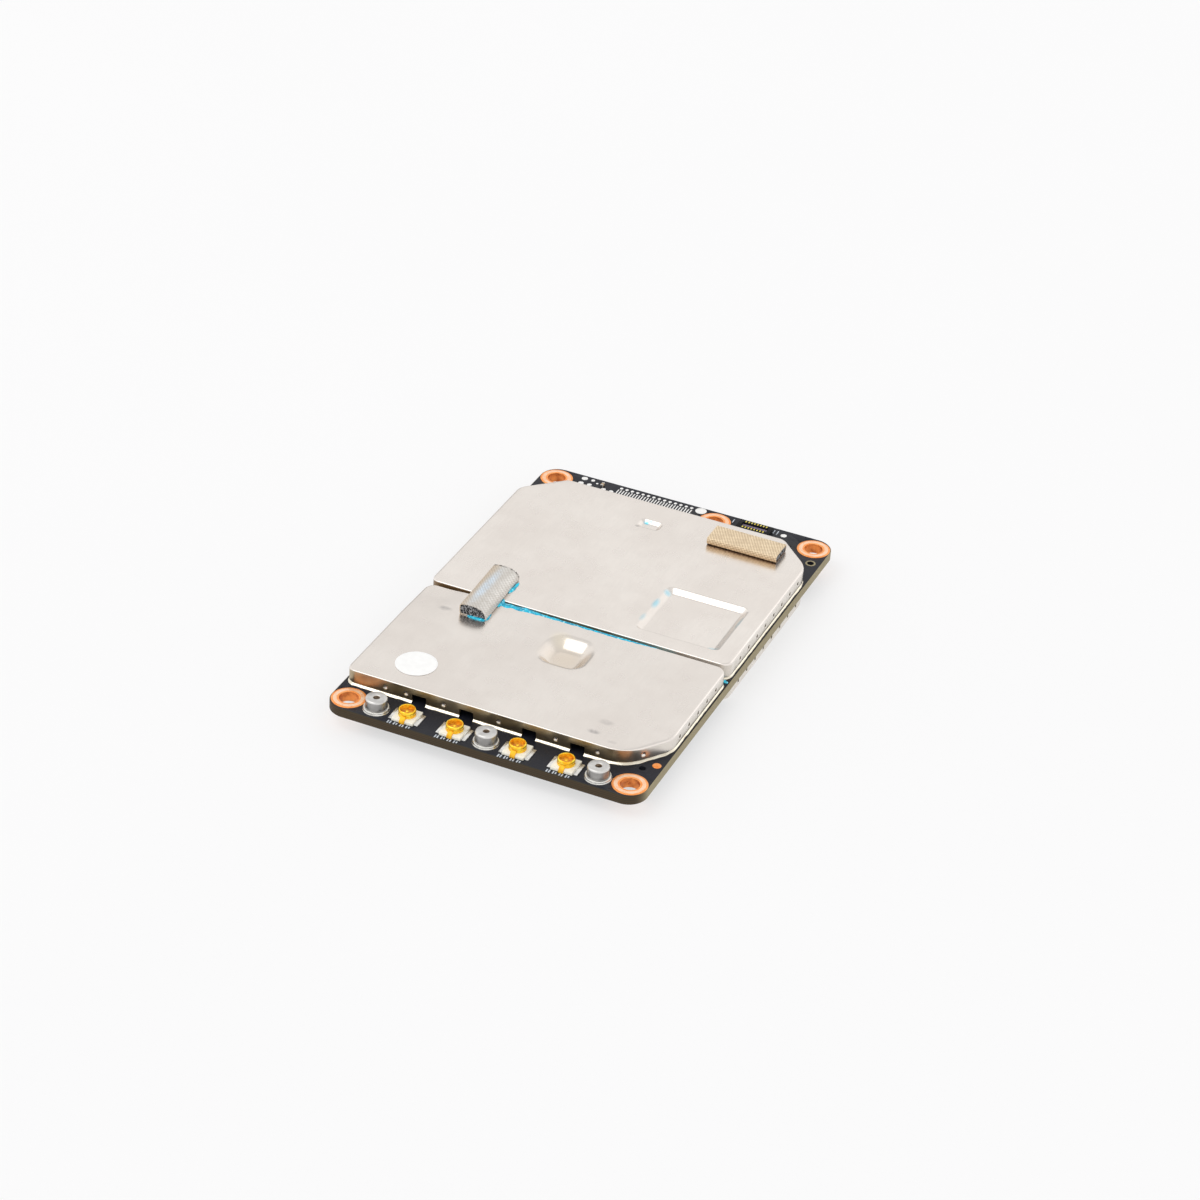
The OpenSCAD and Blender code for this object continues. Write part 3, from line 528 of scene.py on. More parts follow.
def foam_finish():
    """Open cell foam, darker inside its pores, which is painted shade."""
    f = Finish("open_foam")
    pores = f.cells(0.2)
    # Painted shade: the colour turns near black towards the middle of each pore.
    color = f.mix(f.span(pores, 0.35, 0.75), (0.006, 0.006, 0.007), (0.34, 0.34, 0.35))
    f.bump(pores, 0.06)
    return f.done(color, f.span(pores, 0.0, 0.7, 0.95, 0.75))


def gel_finish():
    """Soft blue paste with a wet shine, and painted highlights."""
    f = Finish("thermal_gel", coat_weight=0.4, coat_roughness=0.06, specular_ior_level=0.25)
    fine = f.noise(0.22, 3)
    color = f.mix(f.span(f.noise(0.6, 4), 0.35, 0.65), (0.0, 0.3, 0.48), (0.0, 0.6, 0.84))
    # Painted highlights: pale cyan streaks.
    color = f.mix(f.span(f.noise(0.3, 2), 0.56, 0.7, 0.0, 0.75), color, (0.5, 0.93, 1.0))
    f.bump(fine, 0.05)
    return f.done(color, f.span(fine, 0.3, 0.7, 0.3, 0.45))


MASK = mask_finish()
LAMINATE = laminate_finish()
# Pale copper: a painted highlight on the lands' middles.
PALE_COPPER_PAINTED_HIGHLIGHT = metal("copper", (1.0, 0.56, 0.33), (1.0, 0.74, 0.55), (0.24, 0.36), 0.12, 0.002, 0.9, 0.6)
BARREL = metal("copper_barrel", (0.95, 0.29, 0.055), (1.0, 0.42, 0.13), (0.25, 0.4), 0.08, 0.004, 0.6, 0.35)
PLATED = metal("plated_bore", (0.5, 0.13, 0.02), (0.95, 0.35, 0.08), (0.25, 0.4), 0.3, 0.01, 0.9, 0.45)
TIN = metal("tinned_pad", (0.9, 0.895, 0.88), (0.96, 0.955, 0.94), (0.25, 0.4), 0.1, 0.006, 0.6, 0.5)
SOLDERED = metal("soldered_frame", (0.79, 0.72, 0.58), (0.9, 0.84, 0.71), (0.16, 0.3), 0.3, 0.012, 0.9)
# Painted shade and light: the standoffs' tin darker on the barrel and lighter on the top face.
POST_BARREL_PAINTED_SHADE = metal("standoff_barrel_painted_shade", (0.29, 0.283, 0.275), (0.38, 0.37, 0.36), (0.32, 0.42), 0.06, 0.002, 0.8)
POST_TOP_PAINTED_LIGHT = metal("standoff_top_painted_light", (0.6, 0.59, 0.58), (0.74, 0.73, 0.71), (0.36, 0.46), 0.06, 0.004, 0.7)
SOLDER = metal("solder", (0.66, 0.65, 0.62), (0.8, 0.79, 0.75), (0.24, 0.36), 0.12, 0.003, 0.5)
GOLD = metal("gold_plate", (0.96, 0.44, 0.005), (1.0, 0.78, 0.07), (0.1, 0.18), 0.07, 0.003, 0.35, 0.7)
TONGUE = metal("signal_tongue", (0.7, 0.33, 0.005), (0.9, 0.5, 0.02), (0.3, 0.42), 0.07, 0.003, 0.35, 0.5)
# Painted shade: darker gold for the sockets' well floors.
WELL_PAINTED_SHADE = metal("socket_well_painted_shade", (0.5, 0.17, 0.008), (0.85, 0.36, 0.02), (0.25, 0.4), 0.07, 0.003, 0.35, 0.5)
GILT = metal("gilt_contact", (0.95, 0.74, 0.09), (1.0, 0.88, 0.22), (0.22, 0.34), 0.06, 0.003, 0.5)
HOLE_METAL = metal("thread", (0.26, 0.19, 0.13), (0.42, 0.33, 0.25), (0.4, 0.55), 0.05, 0.004, 0.5)
TAB = metal("bright_tab", (0.84, 0.83, 0.8), (0.93, 0.92, 0.89), (0.22, 0.34), 0.1, 0.006, 0.5)
FRONT_METAL = lid_finish(
    "front_lid_metal",
    smudges=[
        (10.6, -22.75, 0.7, 0.8), (11.07, -20.5, 0.85, 0.5), (13.16, -23.65, 0.5, 0.4),
        (-14.6, -8.5, 0.8, 0.6),
    ],
    # Painted light and shade on the deep pocket: a brown cast over it, a paler patch at its back left and a
    # darker patch on its right wall.
    tints_and_painted_light=[
        (1.5, -10.3, 3.9, (1, 1), 0.9, (0.77, 0.68, 0.58)),
        (-0.3, -7.7, 1.7, (1, 1), 0.6, (0.92, 0.83, 0.68)),
        (3.7, -10.4, 1.6, (0.6, 1.6), 0.6, (0.56, 0.49, 0.42)),
    ],
)
# Painted shade: the front lid's brown front skirt and the rear lid's dark front wall in the seam.
FRONT_SKIRT_PAINTED_SHADE = painted_skirt_shade_finish("front_skirt_painted_shade", (0.38, 0.3, 0.185), (0.48, 0.39, 0.26), 14.4, 17.4)
SEAM_WALL_PAINTED_SHADE = painted_skirt_shade_finish("seam_wall_painted_shade", (0.15, 0.085, 0.035), (0.25, 0.16, 0.08), 3.0, 24.0, 0.3)
GEL_TRACE = (0.22, 0.66, 0.84)
# Painted light and shade: a copy of the lid metal for the skirts' sides, its tone and patchiness set for the
# light they catch.
SIDE_SKIRT_PAINTED_LIGHT = metal("side_skirt_painted_light", (0.74, 0.69, 0.62), (0.84, 0.79, 0.73), (0.2, 0.3), 0.3, 0.0008, 1.4)
# Painted shade: dark metal in the dents of the side skirts.
DENT_PAINTED_SHADE = metal("dent_painted_shade", (0.07, 0.055, 0.04), (0.16, 0.135, 0.1), (0.35, 0.5), 0.1, 0.004, 0.5)
REAR_METAL = lid_finish(
    "rear_lid_metal", 1.045,
    smudges=[(-2.45, 18.6, 0.3, 0.8)],
    tints_and_painted_light=[(*place, GEL_TRACE) for place in (
        (6.5, 7.0, 0.75, (0.8, 1), 0.55), (6.25, 4.1, 0.9, (0.5, 1.6), 0.6), (6.1, 0.7, 0.8, (0.5, 1.4), 0.3),
        (15.6, -1.1, 0.8, (1.2, 0.6), 0.4), (16.3, 4.85, 0.9, (0.4, 2), 0.3),
        (-1.9, 20.2, 0.5, (1, 0.8), 1.0), (-1.45, 20.45, 0.4, (1.4, 0.5), 0.8),
    )],
)
UNDER_METAL = lid_finish("under_lid_metal")
SEAM_X = (SEAM_LO + SEAM_HI)[0] / 2
SEAM_WEAVE = weave_finish(
    "seam_gasket_weave", (0.58, 0.55, 0.51), (0.7, 0.675, 0.645), (0.54, 0.5, 0.45), SEAM_PITCH, 0.5, 0.005,
    # Painted light and shade on the gasket: a tan shaded left flank, a pale blue highlight left of the crown
    # and a paler lit right flank.
    tints_and_painted_light=[
        (SEAM_X - 1.75, -4.0, 1.5, 40, (0.7, 0.57, 0.43), 0.95),
        (SEAM_X - 0.4, -4.2, 0.85, 5.2, (0.76, 0.88, 1.0), 0.9),
        (SEAM_X + 1.1, -3.4, 0.8, 6.0, (0.87, 0.84, 0.8), 0.8),
    ],
    slant=0.8, frayed=SEAM_HI[1],
)
REAR_WEAVE = weave_finish(
    "rear_gasket_weave", (0.6, 0.45, 0.28), (0.92, 0.76, 0.54), (0.56, 0.42, 0.27), REAR_PITCH, 0.3, 0.008,
    # Painted shade: the gasket darker below its top, and a dark band near its foot as a painted contact
    # shadow.
    slant=0.6, sides=[
        (TAN_LO[2], TAN_HI[2] - 0.05, (0.68, 0.56, 0.44)),
        (TAN_LO[2] + 0.08, TAN_LO[2] + 0.26, (0.22, 0.15, 0.09)),
    ],
)
FOAM = foam_finish()
GEL = gel_finish()
LABEL = plain("label", (0.87, 0.87, 0.865), (0.91, 0.91, 0.905), (0.38, 0.5), 0.12, 0.002)
CREAM = plain("cream_moulding", (0.85, 0.81, 0.69), (0.92, 0.89, 0.79), (0.42, 0.56), 0.08, 0.006)
BLACK = plain(
    "black_moulding", (0.004, 0.004, 0.005), (0.009, 0.009, 0.011), (0.4, 0.55), 0.06, 0.006,
    specular_ior_level=0.15,
)
MAUVE = plain("grey_moulding", (0.2, 0.155, 0.23), (0.29, 0.235, 0.32), (0.45, 0.6), 0.06, 0.006)
SILK = plain("silk_print", (0.44, 0.49, 0.56), (0.6, 0.64, 0.69), (0.5, 0.65), 0.05, 0.004)
CHIP = plain("chip_moulding", (0.012, 0.012, 0.014), (0.022, 0.022, 0.025), (0.5, 0.65), 0.05, 0.006)
CERAMIC = plain("chip_ceramic", (0.36, 0.26, 0.16), (0.5, 0.38, 0.25), (0.4, 0.55), 0.06, 0.005)


def make_board():
    """The board: masked faces, a sawn laminate edge and copper in the mounting holes."""
    hx, hy = BOARD_HI[:2]
    outline = Outline([(s * hx, t * hy, BOARD_CORNER_R) for s, t in ((-1, -1), (1, -1), (1, 1), (-1, 1))])
    spots = [outline.at(s) for s in outline.stations(2.0)]
    levels = [(BOARD_EDGE, UNDER), (0, UNDER + BOARD_EDGE), (0, TOP - BOARD_EDGE), (BOARD_EDGE, TOP)]
    rows = [[(x - nx * u, y - ny * u, z) for x, y, nx, ny in spots] for u, z in levels]
    rings = [(x, y, HOLE_R, circle(x, y, HOLE_R)) for x, y in HOLES]
    rings += [(x, y, TOOLING_R, circle(x, y, TOOLING_R, 24)) for x, y in (FRONT_TOOLING, REAR_TOOLING)]
    shape = Shape().add(skin(rows), 1)
    for z, row in ((TOP, rows[-1]), (UNDER, rows[0])):
        shape.add(fill([p[:2] for p in row], holes=rings, height=lambda x, y: z))
    for k, (*_, ring) in enumerate(rings):
        wall = skin([[(*p, z) for p in ring] for z in (UNDER, TOP)])
        # The tooling holes' walls take the dark mask finish: painted shade inside them.
        shape.add(wall, 2 if k < len(HOLES) else 0)
    build("board", shape, [MASK, LAMINATE, PLATED], ["circuit_board"])


def make_lands():
    """Copper lands on both faces, with rolled edges; their pale middle is a painted highlight and their
    redder rims painted shade.
    """
    t, rim = LAND_T, 0.24
    profile = [
        (HOLE_R, 0), (HOLE_R, 0.55 * t), (HOLE_R + 0.05, 0.8 * t), (HOLE_R + rim, 0.95 * t),
        (HOLE_R + 0.4, t), (LAND_R - 0.36, t), (LAND_R - rim, 0.95 * t),
        (LAND_R - 0.05, 0.65 * t), (LAND_R, 0),
    ]
    shape = Shape()
    for x, y in HOLES:
        for z, s in ((TOP, 1), (UNDER, -1)):
            turned = [(r, s * h) for r, h in profile]
            # Pale copper in the middle as painted highlight, redder copper on the rims as painted shade.
            shape.add(lathe(turned[3:7], (x, y, z), 64), 0)
            shape.add(lathe(turned[6:] + turned[:4], (x, y, z), 64), 1)
    build("copper_lands", shape, [PALE_COPPER_PAINTED_HIGHLIGHT, BARREL], ["mounting_lands"], sharp=60)


def dome(x, y, r, t, sides=20):
    """A low tinned dome on the board."""
    profile = [(0, t), (0.5 * r, 0.92 * t), (0.85 * r, 0.6 * t), (r, 0)]
    return lathe(profile, (x, y, TOP), sides)


def ramp(t, soft=0.3):
    """0 to 1 in a straight slope with rounded ends."""
    t = min(1.0, max(0.0, t))
    slope = 1 / (1 - soft)
    if t < soft:
        return slope * t * t / (2 * soft)
    if t > 1 - soft:
        return 1 - slope * (1 - t) ** 2 / (2 * soft)
    return slope * (t - soft / 2)


class Pocket:
    """A pressed pocket in a lid's top: its mouth, depth, softness and how far its walls lean.

    Leans are those of the left, right, front and back wall; rounding is how far the corners are rounded
    beyond the leaning walls.
    """

    def __init__(self, node, size, depth, leans, rounding, soft):
        self.middle, self.half = middle(node)[:2], np.array(size) / 2
        self.depth, self.leans, self.soft = depth, np.array(leans).reshape(2, 2), soft
        self.reach = 1 + rounding

    def drop(self, x, y):
        """Height at a place, counted from the lid's top."""
        off = np.array((x, y)) - self.middle
        shares = np.array([self.half + off, self.half - off]).T / self.leans
        away = np.maximum(0, 1 - shares.min(1) / self.reach)
        return -self.depth * ramp((1 - math.hypot(*away)) * self.reach, self.soft)

    def lines(self, axis, steps=14):
        """Grid lines through the two walls along an axis."""
        at, half, (low, high) = self.middle[axis], self.half[axis], self.leans[axis]
        shares = [k / steps for k in range(-1, steps + 2)]
        return [at - half + low * t for t in shares] + [at + half - high * t for t in shares]


def within(loop, normals, xs, ys, clear):
    """Points of a grid inside a loop, clear of its line."""
    kept = []
    for x in xs:
        for y in ys:
            reach = loop - (x, y)
            near = np.argmin((reach ** 2).sum(1))
            if reach[near] @ normals[near] > clear:
                kept.append((x, y))
    return kept


def grid_lines(low, high, extra):
    """Sorted lines from low to high, a step apart, with the extra ones between."""
    count = math.ceil((high - low) / GRID_STEP)
    found = sorted([low + (high - low) * k / count for k in range(1, count)] + extra)
    kept = []
    for v in found:
        if low < v < high and (not kept or v - kept[-1] > LINE_GAP):
            kept.append(v)
    return kept


def gap_spans(outline, gaps):
    """Start and end along an outline of each gap in front of a socket."""
    return [tuple(sorted(outline.place(x + w * GAP_W / 2, y) for w in (-1, 1))) for x, y in gaps]


def make_lid(
    name, node, outline, height, face, finish, pockets=(), dents=(), gaps=(), seed=0.0, bend=BEND_R, sag=None,
    front=SIDE_SKIRT_PAINTED_LIGHT,
):
    """A pressed lid: a top with pockets, a rounded bend and a skirt with snap dents and gaps.

    Face is 1 on the board's top and -1 under it; heights are measured from that side of the board. The front
    skirt has a metal of its own, painted shade on the lids above the board, and bright dents; the dents
    of the other sides are painted dark as painted shade, and their other faces take a copy of the lid
    metal painted for the light they catch. Sag(x, y) lowers the lid at a place.
    """
    base = TOP if face > 0 else UNDER
    dent_s, spans = [outline.place(*d) for d in dents], gap_spans(outline, gaps)
    extra = [s for span in spans for s in span]
    extra += [s + DENT_R * k / 5 for s in dent_s for k in range(-6, 7)]
    stations = outline.stations(LID_STEP, extra)
    spots = [outline.at(s) for s in stations]
    low, high = np.min(spots, axis=0)[:2], np.max(spots, axis=0)[:2]
    dent_h = (SKIRT_GAP + height - BEND_R) / 2
    skirt = sorted({SKIRT_GAP, GAP_H} | {dent_h + DENT_R * k / 4 for k in range(-5, 6)})
    skirt = [h for h in skirt if SKIRT_GAP <= h < height - BEND_R]

    def away(s, h, dent):
        """Distance from a dent's middle, in dent radii."""
        return math.hypot(min(abs(s - dent), outline.length - abs(s - dent)), h - dent_h) / DENT_R

    def pressed(s, h):
        """How far the skirt is pushed in at a point."""
        dent = sum(max(0.0, 1 - away(s, h, d) ** 2) for d in dent_s)
        return DENT_DEPTH * dent + 0.0015 * wobble(s, h + seed, size=1.6)

    def crown(x, y):
        """Height of the top at a place: slightly wavy inside its bend, with the pockets."""
        wave = 0.02 * wobble(x, y, seed, 9) + 0.006 * wobble(x, y, seed, 2.5)
        inside = min(x - low[0], high[0] - x, y - low[1], high[1] - y)
        wave *= 0.6 * ramp((inside - BEND_R) / 1.5)
        return height - TOP_DIP + wave + sum(p.drop(x, y) for p in pockets)

    loops = []
    for h in skirt:
        pushes = [pressed(s, h) for s in stations]
        loops.append([(x - nx * p, y - ny * p, h) for p, (x, y, nx, ny) in zip(pushes, spots)])
    for k in range(BEND_STEPS + 1):
        a = math.radians(90 * k / BEND_STEPS)
        loops.append([])
        for x, y, nx, ny in spots:
            r = bend + (BEND_R - bend) * nx * nx
            u = r * (1 - math.cos(a))
            loops[-1].append((x - nx * u, y - ny * u, height - r + (r - TOP_DIP) * math.sin(a)))
    rim = [p[:2] for p in loops[-1]]
    loops[-1] = [(x, y, crown(x, y)) for x, y in rim]

    count = len(stations)
    faces, picks = [], []
    for r in range(len(loops) - 1):
        for c in range(count):
            mid = (stations[c] + (stations[c + 1] if c + 1 < count else outline.length)) / 2
            if loops[r + 1][c][2] <= GAP_H + 1e-6 and any(a < mid < b for a, b in spans):
                continue
            d = (c + 1) % count
            faces.append([r * count + c, r * count + d, (r + 1) * count + d, (r + 1) * count + c])
            level = (loops[r][c][2] + loops[r + 1][c][2]) / 2
            dented = any(away(mid, level, s) < DENT_LOOK for s in dent_s)
            in_front = outline.at(mid)[3] < FRONT_FACING
            # Painted shade on the front skirt outside its dents and in the dents of the other sides; painted
            # light and shade on the other skirt faces.
            look = (0 if dented else 2) if in_front else (1 if dented else 3)
            picks.append(look if r < len(skirt) else 0)
    shape = Shape().add(([p for loop in loops for p in loop], faces))
    shape.picks = picks

    walls = [[v for p in pockets for v in p.lines(k)] for k in (0, 1)]
    xs, ys = [grid_lines(low[k] + bend, high[k] - bend, walls[k]) for k in (0, 1)]
    inner = within(np.array(rim), np.array(spots)[:, 2:], xs, ys, RIM_CLEAR)
    shape.add(fill(rim, inner, height=crown))
    if sag:
        shape.points = [(x, y, h * (1 - sag(x, y) / height)) for x, y, h in shape.points]
    shape.points = [(x, y, base + face * h) for x, y, h in shape.points]
    build(name, shape, [finish, DENT_PAINTED_SHADE, front, SIDE_SKIRT_PAINTED_LIGHT], [node], sheet=(SHEET, face))


def make_frame(name, node, outline, height, face, gaps=(), toe=0.0):
    """A soldered frame: an uneven tinned foot below the lid's skirt, and a wall with an inner rim.

    Toe is how much further the foot reaches out at the front.
    """
    base, top = (TOP if face > 0 else UNDER), height - SHEET
    spans = gap_spans(outline, gaps)
    stations = outline.stations(FRAME_STEP, [s for span in spans for s in span])

    def open_at(a, b):
        """Whether a gap takes in the whole step between two stations."""
        return any(lo - 1e-6 <= a and b <= hi + 1e-6 for lo, hi in spans)

    def section(s, profile):
        x, y, nx, ny = outline.at(s)
        return [(x - nx * u, y - ny * u, base + face * h) for u, h in profile]

    def foot(s):
        reach = FOOT_OUT + toe * ramp(-outline.at(s)[3])
        out = reach * (1 + 0.35 * wobble(s, height, size=0.9) + 0.2 * wobble(s, height, 5, 0.35))
        lift = 1 + 0.25 * wobble(s, 3, height, 0.7)
        return section(s, [
            (-out, 0), (-out, 0.6 * FOOT_T * lift), (0.75 * -out, FOOT_T * lift), (0.0, 0.19 * lift),
            (0.12, 0.29), (FRAME_OUT, FILLET_H), (FRAME_OUT + 0.05, FILLET_H), (FRAME_OUT + 0.05, 0),
        ])

    def wall(s, low):
        return section(s, [
            (FRAME_OUT, low), (FRAME_OUT, top - SHEET), (BEND_R, top), (RIM_IN, top), (RIM_IN, top - SHEET),
            (FRAME_IN, top - SHEET), (FRAME_IN, low),
        ])

    feet, walls = [[]], []
    for k, s in enumerate(stations):
        past, here = open_at(stations[k - 1], s), open_at(s, stations[(k + 1) % len(stations)])
        walls += [wall(s, GAP_H if gap else 0) for gap in dict.fromkeys((past, here))]
        if not (past and here):
            feet[-1].append(foot(s))
        if here and not past:
            feet.append([])
    shape = Shape()
    if spans:
        feet[0] = feet.pop() + feet[0]
    for rows in feet:
        shape.add(skin(rows, lap=not spans, caps=bool(spans)))
    shape.add(skin(walls, lap=True))
    build(name, shape, [SOLDERED], [node], sharp=50)


def spaced(low, high):
    """Places a dent's pitch apart, centred between two ends."""
    count = math.floor((high - low) / DENT_PITCH)
    return [(low + high) / 2 + (k - count / 2) * DENT_PITCH for k in range(count + 1)]


def make_shields():
    """The four pressed lids, their pockets, dents and gaps, and the soldered frames below them."""
    (x0, y0), (x1, y1) = FRONT_LO[:2], FRONT_HI[:2]
    v0, v1 = REAR_LO[1], REAR_HI[1]
    u0, u1 = [corner[0] for corner in box("under_front_lid")]
    front = Outline([
        (x0, y0, CORNER_R), (x1 - FRONT_CUT[0], y0, FRONT_CUT_R), (x1, y0 + FRONT_CUT[1], SIDE_CUT_R),
        (x1, y1, CORNER_R), (x0, y1, CORNER_R),
    ])
    rear = Outline([
        (x0, v0, CORNER_R), (x1, v0, CORNER_R), (x1, v1 - REAR_CUT, SIDE_CUT_R),
        (x1 - REAR_CUT, v1, REAR_CUT_R), (x0 + REAR_CUT, v1, REAR_CUT_R), (x0, v1 - REAR_CUT, REAR_CUT_R),
    ])
    under = Outline([(x, y, CORNER_R) for x, y in ((u0, y0), (u1, y0), (u1, y1), (u0, y1))])

    gaps = [(p[0], y0) for p in PORTS]
    front_dents = [(x, y0) for x in (-13.8, -11.2, -6.6, 0.1, 7.0, 12.0)] + [(16.7, -22.9)]
    front_dents += [(x, y) for x in (x0, x1) for y in spaced(y0 + FRONT_CUT[1] + CORNER_R, y1 - 2 * CORNER_R)]
    rear_dents = [(x, y) for x in (x0, x1) for y in spaced(v0 + 2 * CORNER_R, v1 - REAR_CUT - CORNER_R)]
    rear_dents += [(x, v1) for x in spaced(x0 + REAR_CUT + CORNER_R, x1 - REAR_CUT - CORNER_R)]
    under_dents = [(x, y) for x in (u0, u1) for y in spaced(y0 + 2 * CORNER_R, y1 - 2 * CORNER_R)]

    deep = Pocket("transceiver_gel", (6.4, 6.7), 1.0, (1.9, 1.75, 1.7, 2.5), 0.25, 0.32)
    main = Pocket("processor_gel", (10.5, 10.1), 0.5, (0.95, 0.95, 0.62, 0.95), 0.05, 0.22)
    small = Pocket("power_gel", (3.0, 2.1), 0.36, [0.6] * 4, 0.15, 0.25)

    def left_dip(x, y):
        """The front lid lies lower left of the gasket, along the seam."""
        return 0.16 * ramp((SEAM_LO[0] - 0.4 - x) / 3) * ramp((y - y1 + 7) / 6)

    front_h, rear_h, under_h = FRONT_HI[2] - TOP, REAR_HI[2] - TOP, UNDER
    make_lid(
        "front_lid", "front_shield_lid", front, front_h, 1, FRONT_METAL, [deep], front_dents, gaps,
        bend=FRONT_BEND, sag=left_dip, front=FRONT_SKIRT_PAINTED_SHADE,
    )
    make_frame("front_frame", "front_shield_frame", front, front_h, 1, gaps, toe=0.08)
    make_lid(
        "rear_lid", "rear_shield_lid", rear, rear_h, 1, REAR_METAL, [main, small], rear_dents,
        seed=4.0, bend=REAR_BEND, front=SEAM_WALL_PAINTED_SHADE,
    )
    make_frame("rear_frame", "rear_shield_frame", rear, rear_h, 1)
    for half, outline, dents, seed in (("rear", rear, rear_dents, 8.0), ("front", under, under_dents, 12.0)):
        lid, below = f"under_{half}_lid", f"under_{half}_frame"
        make_lid(lid + "_skin", lid, outline, under_h, -1, UNDER_METAL, (), dents, seed=seed)
        make_frame(below + "_skin", below, outline, under_h, -1)


def make_socket(k):
    """A micro coax socket: moulded base, plated shell with a snap groove, solder tabs and signal tongue."""
    housing, ring, centre = [f"antenna_socket_{k}_{part}" for part in ("housing", "shell", "pin")]
    x, y = PORTS[k - 1][:2]
    at = (x, y, TOP)
    base_lo, base_hi = box(housing)
    shell_lo, shell_hi = box(ring)
    base_t, shell_h, pin_h = base_hi[2] - TOP, shell_hi[2] - TOP, box(centre)[1][2] - TOP
    shell_r, bore_r, pin_r = 1.0, 0.8, 0.2
    tab_reach, tab_w, tab_t = (shell_hi[0] - shell_lo[0]) / 2, shell_hi[1] - shell_lo[1], 0.15
    well_h, tongue_w = 0.86, 0.6

    base = Shape().add(soft_box((*base_lo[:2], TOP + 0.02), (*base_hi[:2], TOP + base_t), 0.05))
    base.add(lathe([
        (shell_r + 0.16, base_t - 0.03), (shell_r + 0.13, base_t + 0.05), (shell_r, base_t + 0.07),
        (shell_r, base_t - 0.03),
    ], at, lap=True))
    build(f"socket_{k}_base", base, [CREAM], [housing])

    shell = Shape().add(lathe([
        (shell_r, base_t - 0.05), (shell_r, 0.62), (shell_r - 0.05, 0.67), (shell_r - 0.05, 0.77),
        (shell_r, 0.84), (shell_r, shell_h - 0.17), (shell_r - 0.05, shell_h - 0.05),
        (shell_r - 0.12, shell_h), (bore_r + 0.04, shell_h - 0.01), (bore_r, shell_h - 0.08),
        (bore_r, base_t - 0.05),
    ], at, 56, lap=True))
    for s in (-1, 1):
        for near, far, rise, edge in ((shell_r, tab_reach, tab_t, 0.04), (1.27, 1.42, 0.85 * base_t, 0.05)):
            tab = soft_box((x + s * near, y - tab_w / 2, TOP), (x + s * far, y + tab_w / 2, TOP + rise), edge)
            shell.add(tab, 1)
    build(f"socket_{k}_shell", shell, [GOLD, TAB], [ring])

    pin = Shape().add(lathe([
        (0, pin_h), (0.5 * pin_r, pin_h - 0.02), (0.87 * pin_r, pin_h - 0.07), (pin_r, pin_h - 0.15),
        (pin_r, well_h), (pin_r, 0.2), (0, 0.2),
    ], at, 32))
    # The well floor in darker gold: painted shade inside the shell.
    pin.add(lathe([(bore_r, well_h), (0, well_h), (0, base_t), (bore_r, base_t)], at, 40, lap=True), 1)
    wedge = [
        (-0.9, 0.78), (-1.02, 0.74), (-1.12, 0.66), (-1.4, 0.36), (-1.45, 0.28), (-1.45, 0.05), (-0.9, 0.05),
    ]
    sides = [[(x + s * tongue_w / 2, y + a, TOP + b) for a, b in wedge] for s in (-1, 1)]
    pin.add(skin(sides, caps=True), 2)
    build(f"socket_{k}_pin", pin, [GOLD, WELL_PAINTED_SHADE, TONGUE], [centre])


def make_standoff(k):
    """A soldered standoff: flanged foot in a solder ring, satin barrel, threaded hole."""
    node = f"standoff_{k}"
    x, y = POSTS[k - 1][:2]
    lo, hi = box(node)
    h, solder_r = hi[2] - TOP, (hi[0] - lo[0]) / 2
    foot_r, barrel_r, foot_t, bore_r = solder_r - 0.07, 1.24, 0.3, 0.34
    pitch, turns = 0.2, 6
    outer = [
        (bore_r, 0), (foot_r, 0), (foot_r, 0.17), (foot_r - 0.03, 0.25), (foot_r - 0.08, foot_t),
        (barrel_r + 0.06, foot_t), (barrel_r + 0.01, foot_t + 0.03), (barrel_r, foot_t + 0.09),
        (barrel_r, h - 0.2), (barrel_r - 0.05, h - 0.08), (barrel_r - 0.18, h), (bore_r + 0.1, h),
        (bore_r + 0.03, h - 0.07),
    ]
    thread = [outer[-1]]
    for n in range(turns):
        low = h - 0.12 - n * pitch
        thread += [(bore_r, low), (bore_r + 0.05, low - pitch / 2)]
    thread.append(outer[0])
    shape = Shape()
    # Darker tin on the barrel and lighter tin on the top face: painted shade and light.
    for profile, pick in ((outer[:6], 1), (outer[5:9], 0), (outer[8:], 3), (thread, 2)):
        shape.add(lathe(profile, (x, y, TOP), 64), pick)
    ring = [(c, s, 0.9 + 0.08 * wobble(4 * c, 4 * s, k, 2.0)) for c, s in circle(0, 0, 1, 64)]
    rows = []
    for out, z in ((-0.02, 0), (-0.02, 0.15), (0.01, 0.1), (0.04, 0.04), (solder_r - foot_r, 0)):
        reach = [(c, s, foot_r + out * swell, z * swell) for c, s, swell in ring]
        rows.append([(x + c * r, y + s * r, TOP + rise) for c, s, r, rise in reach])
    shape.add(skin(rows, lap=True), 1)
    build(f"{node}_post", shape, [POST_BARREL_PAINTED_SHADE, SOLDER, HOLE_METAL, POST_TOP_PAINTED_LIGHT], [node])


def spread(points, count, closed=False):
    """Points evenly spaced along a broken line."""
    pts = np.array(list(points) + list(points[:1] if closed else ()), float)
    run = np.r_[0, np.cumsum(np.linalg.norm(np.diff(pts, axis=0), axis=1))]
    at = np.linspace(0, run[-1], count, endpoint=not closed)
    return np.stack([np.interp(at, run, axis) for axis in pts.T], axis=1)


def resample(points, count, passes):
    """A closed line cut into equal steps and smoothed."""
    line = spread(points, count, closed=True)
    for _ in range(passes):
        line = (np.roll(line, 1, 0) + 2 * line + np.roll(line, -1, 0)) / 4
    return line


def outward(line):
    """Unit normals of a closed anticlockwise line."""
    step = np.roll(line, -1, 0) - np.roll(line, 1, 0)
    normal = np.c_[step[:, 1], -step[:, 0]]
    return normal / np.linalg.norm(normal, axis=1)[:, None]


